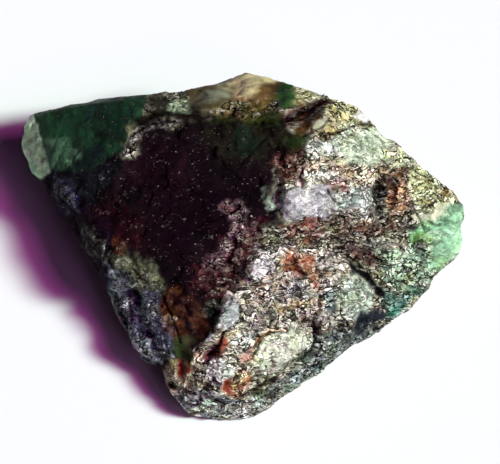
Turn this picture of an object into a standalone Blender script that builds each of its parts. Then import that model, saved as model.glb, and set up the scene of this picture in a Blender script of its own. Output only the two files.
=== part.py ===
"""A rough piece of green beryl, broken out of its mica rock, as one solid stone.

The stone is described as it is seen when it lies on a table and is looked down on at a steep angle. A
place on it is given by u, to the right, and v, up, across that view, and by z, its height above the
table, all in millimetres. A block with the stone's outline is broken along flat faces, notched, meshed
evenly, carved with lumps, plates, cracks, steps and rock facets, and thinned out again. The last step
puts the middle of the resting face's box at the origin and turns millimetres into metres.
"""

import math

import bmesh
import bpy
import numpy as np
from mathutils import Matrix, Vector, noise

for old in list(bpy.data.objects):
    bpy.data.objects.remove(old)

# Driving dimensions, in millimetres and degrees
VIEW_ELEVATION = 65.0
BLANK_REACH = 40.0
RIM_ALLOWANCE = 0.35
FINE_GRID = 0.5
STEP_WIDTH = 0.5
PLATE_BEVEL = 0.25
FLAT_BASE_HEIGHT = 0.25
CALM_BASE_HEIGHT = 1.2
TRIANGLES = 9200
NOISE_SEED = 7
METRES_PER_MM = 0.001

SIN_VIEW = math.sin(math.radians(VIEW_ELEVATION))
COS_VIEW = math.cos(math.radians(VIEW_ELEVATION))
ACROSS = Vector((1.0, 0.0, 0.0))
UPWARD = Vector((0.0, SIN_VIEW, COS_VIEW))
TO_EYE = Vector((0.0, -COS_VIEW, SIN_VIEW))

# The edge of the stone as it is seen from above, clockwise from its left tip, as u and v
OUTLINE = [
    (-22.4, 12.1), (-21.9, 13.1), (-21.1, 13.5), (-17.6, 14.3), (-15.3, 14.6), (-14.5, 15.0),
    (-12.0, 15.1), (-9.2, 15.4), (-5.9, 15.7), (-4.6, 16.1), (-1.0, 16.8), (-0.2, 17.5),
    (1.3, 18.1), (2.8, 17.9), (3.8, 16.9), (6.2, 16.4), (7.4, 15.8), (8.4, 15.0),
    (10.3, 14.7), (11.7, 14.0), (12.6, 13.3), (13.3, 12.1), (15.5, 10.4), (16.4, 9.4),
    (18.5, 8.5), (19.7, 7.2), (21.5, 6.0), (22.2, 4.8), (22.3, 3.3), (21.8, 2.4),
    (22.2, 1.0), (21.8, -0.3), (20.6, -1.4), (19.0, -2.7), (18.7, -4.0),
    (18.1, -5.0), (16.8, -6.3), (14.1, -7.9), (12.8, -8.8), (10.9, -9.6), (9.4, -10.9),
    (6.0, -13.3), (4.2, -14.4), (2.5, -15.8), (0.4, -16.9), (-1.4, -16.8), (-3.6, -16.8),
    (-5.0, -16.1), (-6.0, -15.2), (-7.0, -13.9), (-7.4, -12.4), (-7.4, -11.7), (-9.5, -11.2),
    (-10.9, -10.0), (-12.0, -8.5), (-12.7, -6.6), (-13.0, -4.6), (-13.5, -2.6), (-14.4, -1.7),
    (-15.3, -0.4), (-15.9, 0.9), (-17.6, 3.2), (-18.7, 4.6), (-19.3, 5.8), (-19.6, 7.1),
    (-20.5, 7.3), (-21.3, 8.7), (-22.1, 10.7),
]

# Broken faces and crystal faces that the view sees, each through three places (u, v, z)
SEEN_FACES = {
    "dark cleavage face": [(-18.2, 13.6, 12.0), (5.8, 3.1, 16.5), (-7.5, -10.9, 8.8)],
    "far slope with the quartz": [(7.0, 12.0, 18.6), (-12.0, 15.0, 14.0), (6.3, 16.2, 15.5)],
    "upper right slope": [(6.8, 10.6, 18.7), (6.8, 2.0, 17.7), (17.8, 7.7, 10.4)],
    "lower right slope": [(3.3, 2.0, 15.4), (-3.7, -10.4, 10.1), (9.6, -11.1, 3.5)],
    "dark strip along the lower right": [(15.8, -5.4, 4.5), (1.3, -15.4, 4.5), (9.6, -11.1, 3.0)],
    "layered near end": [(-3.7, -14.4, 6.3), (3.0, -14.4, 6.3), (-3.7, -17.0, 0.9)],
    "near left corner": [(-4.6, -6.0, 10.9), (-1.0, -11.0, 9.5), (-7.0, -12.2, 4.6)],
    "crystal side, dipping left": [(-11.1, 0.5, 10.9), (-17.0, 6.5, 9.0), (-20.3, 13.2, 8.8)],
    "crystal end face": [(-20.3, 13.2, 8.6), (-19.3, 7.9, 7.7), (-22.8, 11.8, 5.6)],
}

# Pieces broken out of the seen side: the outline of each, and three places on the floor it leaves
NOTCHES = {
    "left wall": (
        [(-24.0, 7.5), (-13.0, 7.3), (-5.5, -11.4), (-9.0, -15.0), (-24.0, -15.0)],
        [(-14.4, 1.8, 10.0), (-7.5, -11.2, 8.9), (-12.8, -7.0, 4.0)],
    ),
    "left flank": (
        [(-10.3, -3.6), (-8.9, -7.6), (-7.4, -11.4), (-9.0, -14.0), (-17.0, -13.0), (-16.0, -5.0)],
        [(-10.1, -4.0, 7.6), (-8.0, -10.5, 6.6), (-12.8, -7.0, 3.0)],
    ),
    "drop beside the lavender plate": (
        [(13.4, 7.2), (16.0, 6.6), (16.6, 2.0), (15.0, -0.6), (12.4, 0.4), (13.4, 3.2)],
        [(13.6, 6.4, 12.0), (16.4, 4.0, 11.1), (13.4, 0.4, 11.3)],
    ),
}

# Faces turned away from the view or down: a place (x, y, z) on each and the way it faces
HIDDEN_FACES = {
    "crystal back face": [(-17.6, 11.1, 10.5), (-0.28, 0.71, 0.64)],
    "crystal lower back face": [(-15.0, 12.2, 7.4), (-0.08, 0.95, -0.30)],
    "back wall": [(3.0, 12.9, 11.5), (0.10, 0.96, -0.22)],
    "back right wall": [(12.4, 8.3, 14.0), (0.42, 0.90, -0.12)],
    "right wall": [(20.9, 4.2, 6.0), (0.80, 0.52, -0.32)],
    "under the mint tip": [(21.4, -1.5, 3.6), (0.42, -0.05, -0.90)],
    "under the right back": [(16.0, 6.0, 3.5), (0.45, 0.45, -0.77)],
    "under the right edge": [(15.5, -8.5, 2.4), (0.42, -0.36, -0.84)],
    "under the near end": [(-1.0, -19.5, 0.3), (0.05, -0.26, -0.96)],
    "under the left wall": [(-12.6, -11.2, 0.9), (-0.50, -0.34, -0.80)],
    "under the left shoulder": [(-16.8, -1.0, 4.2), (-0.52, -0.20, -0.83)],
    "under the crystal": [(-20.8, 8.4, 2.9), (-0.42, 0.12, -0.90)],
    "under the back": [(0.0, 11.0, 3.8), (-0.10, 0.57, -0.82)],
    "resting face": [(0.0, 0.0, 0.1), (0.0, 0.0, -1.0)],
}

# Rounded lumps and hollows on the seen side: u, v, half width, half height, turn in degrees, rise
LUMPS = {
    "quartz lump": (1.2, 16.0, 2.6, 2.2, 10, 1.0),
    "quartz shoulder": (-2.6, 15.0, 2.6, 1.5, 5, 0.45),
    "cream flake hill": (9.6, 13.0, 3.4, 2.4, -25, 0.7),
    "right ridge": (19.0, 5.6, 2.6, 3.8, 30, 0.9),
    "mint tip": (20.6, 0.6, 2.8, 3.4, -20, 0.8),
    "pale boulder": (11.6, -5.2, 2.0, 2.6, 15, 0.9),
    "cream swell": (4.6, -10.6, 4.2, 2.8, 35, 0.7),
    "near left knob": (-6.6, -13.4, 1.9, 2.2, 0, 0.6),
    "valley beside the ridge": (14.6, 2.0, 2.0, 5.0, -16, -0.7),
    "hollow above the boulder": (10.6, -0.4, 4.4, 1.6, -12, -0.8),
    "black socket": (12.4, -7.3, 1.2, 0.9, 25, -0.8),
    "rust hollow": (4.6, -2.2, 2.6, 1.7, 20, -0.6),
    "red pocket": (-3.1, -10.0, 2.2, 0.9, 48, -0.8),
    "orange pocket": (-0.6, -14.0, 1.6, 1.0, 5, -0.5),
    "grey lump under the crystal": (-17.7, 5.6, 1.8, 1.9, -40, 1.3),
    "small lump on the wall": (-14.8, 0.3, 1.0, 1.8, 30, 1.1),
    "upper lump of the flank": (-11.4, -5.4, 1.7, 2.0, 20, 1.0),
    "lower lump of the flank": (-9.7, -9.6, 2.0, 1.4, -45, 0.9),
}

# Flat-topped plates that stand proud: u, v, half width, half height, turn in degrees, rise
PLATES = {
    "lavender plate": (8.8, 4.3, 5.2, 2.3, -4, 0.7),
    "mint plate": (12.4, 10.0, 4.4, 2.0, -28, 0.5),
    "pale lavender shelf": (2.6, -1.6, 2.0, 1.6, 30, 0.6),
    "grey glassy facet": (-1.1, -7.0, 1.5, 1.0, 38, 0.5),
    "green edge flake": (-12.0, -2.6, 2.0, 1.6, -50, 0.5),
}

# Open cracks and crevices: their route over the seen side, then half width and depth
CRACKS = {
    "purple crevice": (
        [(10.4, -0.4), (11.4, -1.0), (11.7, -2.1), (12.9, -2.7), (13.2, -3.8), (14.3, -4.6)], 0.7, 0.8
    ),
    "arched crack": ([(6.8, 11.0), (8.6, 11.4), (10.4, 12.6), (12.8, 12.8)], 0.5, 0.6),
    "maroon cleft": ([(4.2, 13.2), (6.0, 13.9), (8.6, 15.2)], 0.8, 0.8),
    "edge of the dark strip": ([(14.4, -4.2), (9.0, -8.8), (5.0, -11.6), (1.4, -14.6)], 0.8, 0.5),
    "seam of the near end": ([(-7.0, -13.6), (-3.4, -15.0), (1.0, -15.9)], 0.5, 0.5),
}

# Steps that run over the seen side: the route of each, how far the ground on its right-hand side
# stands above the ground on its left, and how far that goes on
STEPS = {
    "green crystal down to the dark crust": (
        [(-12.0, 8.2), (-11.4, 10.4), (-10.2, 12.2), (-7.0, 12.9), (-4.0, 13.4)], -0.45, 5.0
    ),
    "mint plate down to the brown band": ([(6.4, 9.4), (10.0, 8.6), (14.6, 8.6)], -0.5, 2.6),
    "lavender plate down to the rust": ([(2.6, 2.2), (6.4, 1.6), (11.6, 1.4)], -0.6, 3.2),
    "cream rock down to the red pockets": ([(0.6, -3.6), (-2.2, -7.8), (-4.6, -10.6)], -0.5, 2.4),
    "layers beside the boulder": ([(13.6, -0.6), (17.4, -1.6), (19.6, -2.6)], -0.4, 2.2),
}

# Parts with smooth faces: u, v, half width, half height, turn in degrees
CRYSTAL_PATCH = (-17.0, 12.4, 7.0, 5.6, -8)
QUARTZ_PATCH = (0.4, 15.6, 5.0, 2.8, 5)
DARK_FACE_PATCH = (-6.0, 5.0, 12.5, 8.5, -28)
CRYSTAL_UNDERSIDE = (4.5, 7.0)
DARK_FACE_SMOOTHNESS = 0.85

# Facets of the broken rock: their size, how far one stands above the next, and how far they lean
COARSE_FACETS = (5.5, 0.30, 0.075)
MICA_FACETS = (2.3, 0.26, 0.13)
SMOOTH_FACE_SHARE = 0.25

# Size and rise of the finest grain, and size and reach of the wavering of all edges
GRAIN_SIZE = 0.9
GRAIN_RISE = 0.05
WAVER_SIZE = 2.0
WAVER_REACH = 0.5
FACET_WAVER_SIZE = 3.0
FACET_WAVER_REACH = 0.7


def place(u, v, z):
    """The point in space at height z that the view shows at u, v."""
    return Vector((u, (v - z * COS_VIEW) / SIN_VIEW, z))


def object_from(bm, name):
    """A new object in the scene that holds the bmesh's shape."""
    mesh = bpy.data.meshes.new(name)
    bm.to_mesh(mesh)
    bm.free()
    made = bpy.data.objects.new(name, in_order(mesh))
    bpy.context.scene.collection.objects.link(made)
    return made


def drawn_out(outline):
    """A bar with the given outline across the view, drawn out along the line of sight."""
    bm = bmesh.new()
    ring = [bm.verts.new(u * ACROSS + v * UPWARD - BLANK_REACH * TO_EYE) for u, v in outline]
    face = bm.faces.new(ring)
    drawn = bmesh.ops.extrude_face_region(bm, geom=[face])
    moved = [item for item in drawn["geom"] if isinstance(item, bmesh.types.BMVert)]
    bmesh.ops.translate(bm, verts=moved, vec=2 * BLANK_REACH * TO_EYE)
    bmesh.ops.recalc_face_normals(bm, faces=bm.faces[:])
    return bm


def widened(outline, allowance):
    """The outline moved outwards all round, to make up for what the even mesh rounds off."""
    wide = []
    before = outline[-1:] + outline[:-1]
    after = outline[1:] + outline[:1]
    for (u0, v0), (u, v), (u1, v1) in zip(before, outline, after):
        away = Vector((v0 - v1, u1 - u0)).normalized()
        wide.append((u + allowance * away.x, v + allowance * away.y))
    return wide


def break_off(bm, point, facing):
    """Removes what lies on the side that a plane faces, as one clean break, and closes the cut."""
    everything = bm.verts[:] + bm.edges[:] + bm.faces[:]
    bmesh.ops.bisect_plane(
        bm, geom=everything, dist=1e-5, plane_co=point, plane_no=facing, clear_outer=True
    )
    rim = [edge for edge in bm.edges if edge.is_boundary]
    bmesh.ops.holes_fill(bm, edges=rim, sides=0)


def seen_plane(three):
    """A point on the plane through three places, and the way it faces, which is towards the eye."""
    a, b, c = (place(*spot) for spot in three)
    facing = (b - a).cross(c - a).normalized()
    if facing.dot(TO_EYE) < 0:
        facing.negate()
    return a, facing


def broken_block():
    """The blank with every face of the stone broken off it, and the notches taken out."""
    bm = drawn_out(widened(OUTLINE, RIM_ALLOWANCE))
    for three in SEEN_FACES.values():
        break_off(bm, *seen_plane(three))
    for point, facing in HIDDEN_FACES.values():
        break_off(bm, Vector(point), Vector(facing).normalized())
    block = object_from(bm, "block")
    for name, (outline, floor) in NOTCHES.items():
        point, facing = seen_plane(floor)
        cutter_shape = drawn_out(outline)
        break_off(cutter_shape, point, -facing)
        cutter = object_from(cutter_shape, name)
        cutter.hide_render = True
        cutter.display_type = "WIRE"
        take_out = block.modifiers.new(name, "BOOLEAN")
        take_out.operation = "DIFFERENCE"
        take_out.solver = "EXACT"
        take_out.object = cutter
    return block


def evenly_meshed(block, grid):
    """The same shape with small even faces, which the relief can move."""
    even = block.modifiers.new("even faces", "REMESH")
    even.mode = "VOXEL"
    even.voxel_size = grid
    with_modifiers(block)
    block.data = in_order(block.data)
    return block


def with_modifiers(obj):
    """Replaces an object's mesh by what its modifiers make of it."""
    graph = bpy.context.evaluated_depsgraph_get()
    shaped = bpy.data.meshes.new_from_object(obj.evaluated_get(graph))
    obj.modifiers.clear()
    obj.data = shaped
    return obj


def in_order(mesh):
    """The same mesh with its points and faces sorted by place, so that every build is the same."""
    places = [tuple(round(side, 3) for side in vertex.co) for vertex in mesh.vertices]
    order = sorted(range(len(places)), key=places.__getitem__)
    rank = {old: new for new, old in enumerate(order)}
    rings = []
    for polygon in mesh.polygons:
        ring = [rank[index] for index in polygon.vertices]
        first = ring.index(min(ring))
        rings.append(ring[first:] + ring[:first])
    bm = bmesh.new()
    points = [bm.verts.new(places[index]) for index in order]
    for ring in sorted(rings):
        bm.faces.new([points[index] for index in ring])
    tidy = bpy.data.meshes.new(mesh.name)
    bm.to_mesh(tidy)
    bm.free()
    return tidy


def smooth_step(low, high, value):
    """0 below low, 1 above high, and an even rise between them."""
    t = min(1.0, max(0.0, (value - low) / (high - low)))
    return t * t * (3 - 2 * t)


def reach(u, v, shape, roundness=2.0):
    """How far u, v is from the middle of a patch, where 1 is its edge; 2 is an ellipse, 4 is boxy."""
    u0, v0, half_width, half_height, turn = shape
    angle = math.radians(turn)
    du, dv = u - u0, v - v0
    along = (du * math.cos(angle) + dv * math.sin(angle)) / half_width
    across = (dv * math.cos(angle) - du * math.sin(angle)) / half_height
    return (abs(along) ** roundness + abs(across) ** roundness) ** (1 / roundness)


def inside(u, v, shape):
    """1 within a patch, falling to 0 over the outer third of it."""
    return smooth_step(0.0, 0.33, 1 - reach(u, v, shape))


def nearest_on(route, u, v):
    """Distance from u, v to a route of straight runs, and the side it lies on, 1 right or -1 left."""
    best, side = 1e9, 1.0
    for (u0, v0), (u1, v1) in zip(route, route[1:]):
        du, dv = u1 - u0, v1 - v0
        t = min(1.0, max(0.0, ((u - u0) * du + (v - v0) * dv) / (du * du + dv * dv)))
        away = math.hypot(u - u0 - t * du, v - v0 - t * dv)
        if away < best:
            best = away
            side = 1.0 if du * (v - v0) - dv * (u - u0) < 0 else -1.0
    return best, side


def seen_relief(u, v):
    """How far the seen side stands out from its flat breaks at u, v."""
    rise = 0.0
    for *shape, height in LUMPS.values():
        r = reach(u, v, shape)
        rise += height * max(0.0, 1 - r * r) ** 2
    for *shape, height in PLATES.values():
        rise += height * smooth_step(0.0, PLATE_BEVEL, 1 - reach(u, v, shape, 4.0))
    for route, half_width, depth in CRACKS.values():
        away, _ = nearest_on(route, u, v)
        rise -= depth * smooth_step(0.0, 1.0, 1 - away / half_width)
    for route, height, goes_on in STEPS.values():
        away, side = nearest_on(route, u, v)
        if side > 0 and away < goes_on:
            fade = smooth_step(0.0, 0.7 * goes_on, goes_on - away)
            rise += height * smooth_step(0.0, STEP_WIDTH, away) * fade
    return rise


def facet(point, size, rise, lean):
    """Height of the flat facet that a point belongs to: each one has its own level and slope."""
    middle = noise.voronoi(point / size)[1][0]
    slope = noise.cell_vector(middle * 17.3) - Vector((0.5, 0.5, 0.5))
    level = noise.cell(middle * 29.1)
    return 0.5 * rise * level + 2 * lean * size * slope.dot(point / size - middle)


def rock_relief(point, roughness):
    """How far broken rock stands out at a point in space, where 0 is glassy and 1 is flaky mica."""
    bent = point + FACET_WAVER_REACH * noise.noise_vector(point / FACET_WAVER_SIZE)
    coarse_share = max(SMOOTH_FACE_SHARE, roughness)
    rise = coarse_share * facet(bent, *COARSE_FACETS) + roughness * facet(bent, *MICA_FACETS)
    return rise + GRAIN_RISE * roughness * noise.fractal(point / GRAIN_SIZE, 1.0, 2.0, 2)


def glassy(u, v, z, seen):
    """1 on the beryl crystal's smooth faces and the quartz, 0 on broken mica rock."""
    crystal = smooth_step(*CRYSTAL_UNDERSIDE, z) * inside(u, v, CRYSTAL_PATCH)
    quartz = inside(u, v, QUARTZ_PATCH)
    dark_face = DARK_FACE_SMOOTHNESS * inside(u, v, DARK_FACE_PATCH)
    return max(crystal, seen * quartz, seen * dark_face)


def carve(stone):
    """Moves every point out or in by the relief, and leaves the resting face flat."""
    mesh = stone.data
    facing = [normal.vector.copy() for normal in mesh.vertex_normals]
    for vertex, out in zip(mesh.vertices, facing):
        point = vertex.co.copy()
        waver = WAVER_REACH * noise.noise_vector(point / WAVER_SIZE)
        u, v = point.dot(ACROSS) + waver.x, point.dot(UPWARD) + waver.y
        towards_eye = out.dot(TO_EYE)
        seen = smooth_step(0.1, 0.5, towards_eye)
        rise = seen * seen_relief(u, v) + rock_relief(point, 1 - glassy(u, v, point.z, seen))
        rim_share = 0.3 + 0.7 * abs(towards_eye)
        base_share = smooth_step(0.0, CALM_BASE_HEIGHT, point.z)
        vertex.co = point + out * rise * rim_share * base_share
    flatten_base(mesh)


def flatten_base(mesh):
    """Puts the points that lie almost on the table exactly on it."""
    for vertex in mesh.vertices:
        if vertex.co.z < FLAT_BASE_HEIGHT:
            vertex.co.z = 0.0
    mesh.update()


def fewer_faces(stone, triangles):
    """Merges the small faces where the stone is flat, and keeps them along its edges."""
    mesh = stone.data
    mesh.calc_loop_triangles()
    thin = stone.modifiers.new("fewer faces", "DECIMATE")
    thin.ratio = triangles / len(mesh.loop_triangles)
    thin.use_collapse_triangulate = True
    return with_modifiers(stone)


def finish(stone):
    """Puts the stone over the origin, turns millimetres into metres and gives it its colour."""
    flatten_base(stone.data)
    corners = np.array([vertex.co for vertex in stone.data.vertices])
    middle = (corners.min(axis=0) + corners.max(axis=0)) / 2
    print("middle of the stone in the view's millimetres", middle.round(2))
    stone.data.transform(Matrix.Translation((-middle[0], -middle[1], 0.0)))
    stone.data.transform(Matrix.Scale(METRES_PER_MM, 4))
    stone.data.shade_flat()
    stone.name = "beryl_stone"
    stone.data.name = "beryl_stone"
    stone.data.materials.clear()
    stone.data.materials.append(stone_material())


def stone_material():
    """Dull green-grey mineral, the stone's mean colour."""
    material = bpy.data.materials.new("rough_beryl")
    material.use_nodes = True
    shader = material.node_tree.nodes["Principled BSDF"]
    shader.inputs["Base Color"].default_value = (0.16, 0.17, 0.13, 1.0)
    shader.inputs["Roughness"].default_value = 0.5
    shader.inputs["Metallic"].default_value = 0.0
    return material


noise.seed_set(NOISE_SEED)
stone = evenly_meshed(broken_block(), FINE_GRID)
carve(stone)
fewer_faces(stone, TRIANGLES)
finish(stone)

print("size in metres", [round(side, 4) for side in stone.dimensions])
print("faces", len(stone.data.polygons))
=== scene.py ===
# %% [markdown]
# # A rough green beryl, still in its mica rock
#
# This lesson dresses one broken stone. A short dark green crystal ends in a pale facet on the left, a
# lump of quartz sits on the far rim, a dark cleavage face slopes down to the left, and the right half is
# pale, flaky mica rock with rust in its hollows and a mint green tip.
#
# A solid of the stone is already there, with about nine thousand faces. It fixes the size and the main
# forms. Here a finer copy of it takes its place, and gets the flakes, cracks and colours that a hand
# lens would show. The solid itself stays as it is.

# %% Load the solid
import math

import bmesh
import bpy
import numpy as np
from mathutils import Matrix, Vector, noise


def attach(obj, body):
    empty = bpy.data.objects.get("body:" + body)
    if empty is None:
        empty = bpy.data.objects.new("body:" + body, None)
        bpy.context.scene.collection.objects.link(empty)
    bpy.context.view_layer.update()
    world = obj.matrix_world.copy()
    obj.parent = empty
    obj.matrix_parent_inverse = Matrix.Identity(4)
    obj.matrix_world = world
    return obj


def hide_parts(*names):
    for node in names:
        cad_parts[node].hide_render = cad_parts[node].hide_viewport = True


MM = 0.001

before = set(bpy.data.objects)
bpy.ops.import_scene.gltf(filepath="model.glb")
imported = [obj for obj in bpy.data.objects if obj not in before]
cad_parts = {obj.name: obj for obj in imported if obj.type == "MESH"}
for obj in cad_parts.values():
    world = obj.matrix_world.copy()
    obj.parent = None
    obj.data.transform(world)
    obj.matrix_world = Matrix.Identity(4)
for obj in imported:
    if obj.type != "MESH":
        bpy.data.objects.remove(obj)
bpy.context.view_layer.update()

# %% [markdown]
# ## The view, and places on it
#
# The stone lies on a table and is looked down on at 65 degrees. Every mark on the seen side is given by
# two numbers in millimetres: u to the right and v up across that view. The three directions below turn a
# point in space into u, v and the distance towards the eye, so that a mark lands on the stone wherever
# its surface is. The last value is where the solid's own origin lies in the space of the drawing, so it
# is added to a point first.

# %% Directions of the view
VIEW_ELEVATION = 65.0
SIN_VIEW = math.sin(math.radians(VIEW_ELEVATION))
COS_VIEW = math.cos(math.radians(VIEW_ELEVATION))
ACROSS = np.array([1.0, 0.0, 0.0])
UPWARD = np.array([0.0, SIN_VIEW, COS_VIEW])
TO_EYE = np.array([0.0, -COS_VIEW, SIN_VIEW])
VIEW_ZERO = np.array([0.19, -2.87, 0.0])
print("towards the eye", TO_EYE.round(2))

# %% [markdown]
# ## Camera
#
# A very long lens from most of a metre away keeps the picture almost free of perspective, as in a
# close-up that is cropped from the middle of a frame. The picture is 50 mm wide at half the stone's
# depth, 12 mm towards the eye from its foot. The stone sits a little left of and below the middle.

# %% Camera
PICTURE_WIDTH = 50.35
PICTURE_MIDDLE = (1.0, 1.8)
CAMERA_DISTANCE = 0.8
MIDDLE_OF_DEPTH = 0.012

camera_data = bpy.data.cameras.new("camera")
camera_data.lens = camera_data.sensor_width * CAMERA_DISTANCE / (MM * PICTURE_WIDTH)
camera = bpy.data.objects.new("camera", camera_data)
bpy.context.scene.collection.objects.link(camera)
middle = PICTURE_MIDDLE[0] * ACROSS + PICTURE_MIDDLE[1] * UPWARD - VIEW_ZERO
camera.location = Vector(MM * middle + (CAMERA_DISTANCE + MIDDLE_OF_DEPTH) * TO_EYE)
camera.rotation_euler = (math.radians(90 - VIEW_ELEVATION), 0.0, 0.0)
bpy.context.scene.camera = camera
print("lens", round(camera_data.lens), "mm")

# %% [markdown]
# ## Light
#
# The stone lies on white paper that is lit almost to white. The main light is a strip that stands on the
# right: a row of four sun lamps, each a little lower than the one before. It throws a shadow to the left
# whose sides are crisp and whose end is soft. A broad violet glow from the same side, slightly steeper,
# colours the edge of that shadow, and a weak lamp on the near side lifts the darkest parts a little.

# %% Light
STRIP_SIDES = [(0.84, -0.30, 1.0), (0.92, -0.28, 1.0), (1.00, -0.26, 1.0), (1.08, -0.24, 1.0)]
STRIP_LIGHT = {"strength": 1.28, "spread": 9.0, "colour": (0.70, 1.0, 0.79)}
GLOW_SIDE = (0.77, -0.27, 1.0)
GLOW_LIGHT = {"strength": 1.66, "spread": 26.0, "colour": (1.0, 0.14, 0.76)}
NEAR_SIDE = (0.60, -0.95, 1.0)
NEAR_LIGHT = {"strength": 0.19, "spread": 16.0, "colour": (0.85, 0.32, 0.85)}
FILL_COLOUR = (0.015, 0.003, 0.017, 1.0)


def add_lamp(name, side, light):
    """A sun lamp that shines on the stone from the given side."""
    lamp = bpy.data.lights.new(name, "SUN")
    lamp.energy = light["strength"]
    lamp.angle = math.radians(light["spread"])
    lamp.color = light["colour"]
    holder = bpy.data.objects.new(name, lamp)
    holder.rotation_euler = Vector(side).to_track_quat("Z", "Y").to_euler()
    bpy.context.scene.collection.objects.link(holder)


for number, side in enumerate(STRIP_SIDES):
    add_lamp(f"strip light {number}", side, STRIP_LIGHT)
add_lamp("violet glow", GLOW_SIDE, GLOW_LIGHT)
add_lamp("near light", NEAR_SIDE, NEAR_LIGHT)
sky = bpy.data.worlds.new("fill")
bpy.context.scene.world = sky
sky.use_nodes = True
sky.node_tree.nodes["Background"].inputs["Color"].default_value = FILL_COLOUR
bpy.context.scene.view_settings.view_transform = "Standard"
print("lamps", len(bpy.data.lights))

# %% [markdown]
# ## Building a finish from expressions
#
# A finish is a chain of nodes, and most of them only do sums. One small class wraps a socket, so that a
# sum can be written as a sum: `1 - mask * 0.5` adds its two Math nodes. Every other node comes from one
# method that takes the kind of node, its settings and what goes into its sockets.


# %% Sockets that can be added and multiplied
class Value:
    """A number that changes over a surface, as the socket of a node."""

    def __init__(self, finish, socket):
        self.finish = finish
        self.socket = socket

    def __add__(self, other):
        return self.finish.sum("ADD", self, other)

    def __sub__(self, other):
        return self.finish.sum("SUBTRACT", self, other)

    def __rsub__(self, other):
        return self.finish.sum("SUBTRACT", other, self)

    def __mul__(self, other):
        return self.finish.sum("MULTIPLY", self, other)

    def above(self, low, high):
        """0 where the number is below low, 1 above high, and an even rise between them."""
        settings = {"interpolation_type": "SMOOTHSTEP"}
        sockets = {"Value": self, "From Min": low, "From Max": high}
        made = self.finish.node("ShaderNodeMapRange", settings, sockets)
        return Value(self.finish, made.outputs["Result"])

    def below(self, low, high):
        """1 where the number is below low, and 0 above high."""
        return 1 - self.above(low, high)

    __radd__ = __add__
    __rmul__ = __mul__


class Finish:
    """A material, and the nodes that are added to it."""

    def __init__(self, name):
        self.material = bpy.data.materials.new(name)
        self.material.use_nodes = True
        self.tree = self.material.node_tree
        self.shader = self.tree.nodes["Principled BSDF"]

    def node(self, kind, settings=None, sockets=None):
        made = self.tree.nodes.new(kind)
        for name, setting in (settings or {}).items():
            setattr(made, name, setting)
        for name, given in (sockets or {}).items():
            self.feed(made.inputs[name], given)
        return made

    def feed(self, socket, given):
        """Puts a plain value into a socket, or links another node's output to it."""
        if isinstance(given, Value):
            given = given.socket
        if isinstance(given, bpy.types.NodeSocket):
            self.tree.links.new(given, socket)
        else:
            socket.default_value = given

    def output(self, kind, settings, sockets, name):
        return self.node(kind, settings, sockets).outputs[name]

    def sum(self, operation, *given):
        """A number worked out from numbers."""
        made = self.node("ShaderNodeMath", {"operation": operation}, dict(enumerate(given)))
        return Value(self, made.outputs[0])

    def vector(self, operation, *given):
        """A vector sum; a dot product gives a number."""
        made = self.node("ShaderNodeVectorMath", {"operation": operation}, dict(enumerate(given)))
        if operation == "DOT_PRODUCT":
            return Value(self, made.outputs["Value"])
        return made.outputs["Vector"]

    def scaled(self, vector, scale):
        settings = {"operation": "SCALE"}
        sockets = {"Vector": vector, "Scale": scale}
        return self.output("ShaderNodeVectorMath", settings, sockets, "Vector")

    def blend(self, kind, share, first, second):
        """Two colours put together by one of the Mix node's ways."""
        settings = {"data_type": "RGBA", "blend_type": kind}
        sockets = {0: share, 6: first, 7: second}
        return self.node("ShaderNodeMix", settings, sockets).outputs[2]

    def parts(self, colour):
        """The red, green and blue of a colour, each as a number."""
        split = self.node("ShaderNodeSeparateColor", None, {"Color": colour})
        return [Value(self, socket) for socket in split.outputs]


# %% [markdown]
# ## The sheet of paper
#
# Paper is flat white with only a breath of tooth, so a plain square is right here. It is far larger than
# the picture, because the stone is also looked at from the sides.

# %% Paper
PAPER_HALF_WIDTH = 3.0
PAPER_COLOUR = (0.77, 0.80, 0.80, 1.0)
PAPER_ROUGHNESS = 0.9
PAPER_SHINE = 0.1

bm = bmesh.new()
bmesh.ops.create_grid(bm, x_segments=1, y_segments=1, size=PAPER_HALF_WIDTH)
paper_mesh = bpy.data.meshes.new("paper")
bm.to_mesh(paper_mesh)
bm.free()
paper = bpy.data.objects.new("paper", paper_mesh)
bpy.context.scene.collection.objects.link(paper)
paper_finish = Finish("white_paper")
paper_finish.feed(paper_finish.shader.inputs["Base Color"], PAPER_COLOUR)
paper_finish.feed(paper_finish.shader.inputs["Roughness"], PAPER_ROUGHNESS)
paper_finish.feed(paper_finish.shader.inputs["Specular IOR Level"], PAPER_SHINE)
paper_mesh.materials.append(paper_finish.material)
print("paper", 2 * PAPER_HALF_WIDTH, "m wide")

# %% [markdown]
# ## A finer copy of the stone
#
# The solid's faces are nearly a millimetre long, and a mica flake is half of that. The copy is merged,
# turned into millimetres for easy numbers, and meshed again with small even faces. A little smoothing
# takes the straight edges off the solid's triangles, so that only the flakes that are carved next look
# sharp.

# %% Copy, merge and mesh finely
NODE = "beryl_stone"
MERGE_DISTANCE = 1e-6
FINE_GRID = 0.15
SOFTENING_ROUNDS = 3
SOFTENING = {"factor": 0.5, "use_axis_x": True, "use_axis_y": True, "use_axis_z": True}


def evaluated(obj):
    """Replaces an object's mesh by what its modifiers make of it."""
    graph = bpy.context.evaluated_depsgraph_get()
    shaped = bpy.data.meshes.new_from_object(obj.evaluated_get(graph))
    obj.modifiers.clear()
    obj.data = shaped


bm = bmesh.new()
bm.from_mesh(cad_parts[NODE].data)
bmesh.ops.remove_doubles(bm, verts=bm.verts, dist=MERGE_DISTANCE)
bmesh.ops.scale(bm, vec=(1 / MM, 1 / MM, 1 / MM), verts=bm.verts)
fine_mesh = bpy.data.meshes.new("stone")
bm.to_mesh(fine_mesh)
bm.free()
stone = bpy.data.objects.new("stone", fine_mesh)
bpy.context.scene.collection.objects.link(stone)
even = stone.modifiers.new("even faces", "REMESH")
even.mode = "VOXEL"
even.voxel_size = FINE_GRID
evaluated(stone)

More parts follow.
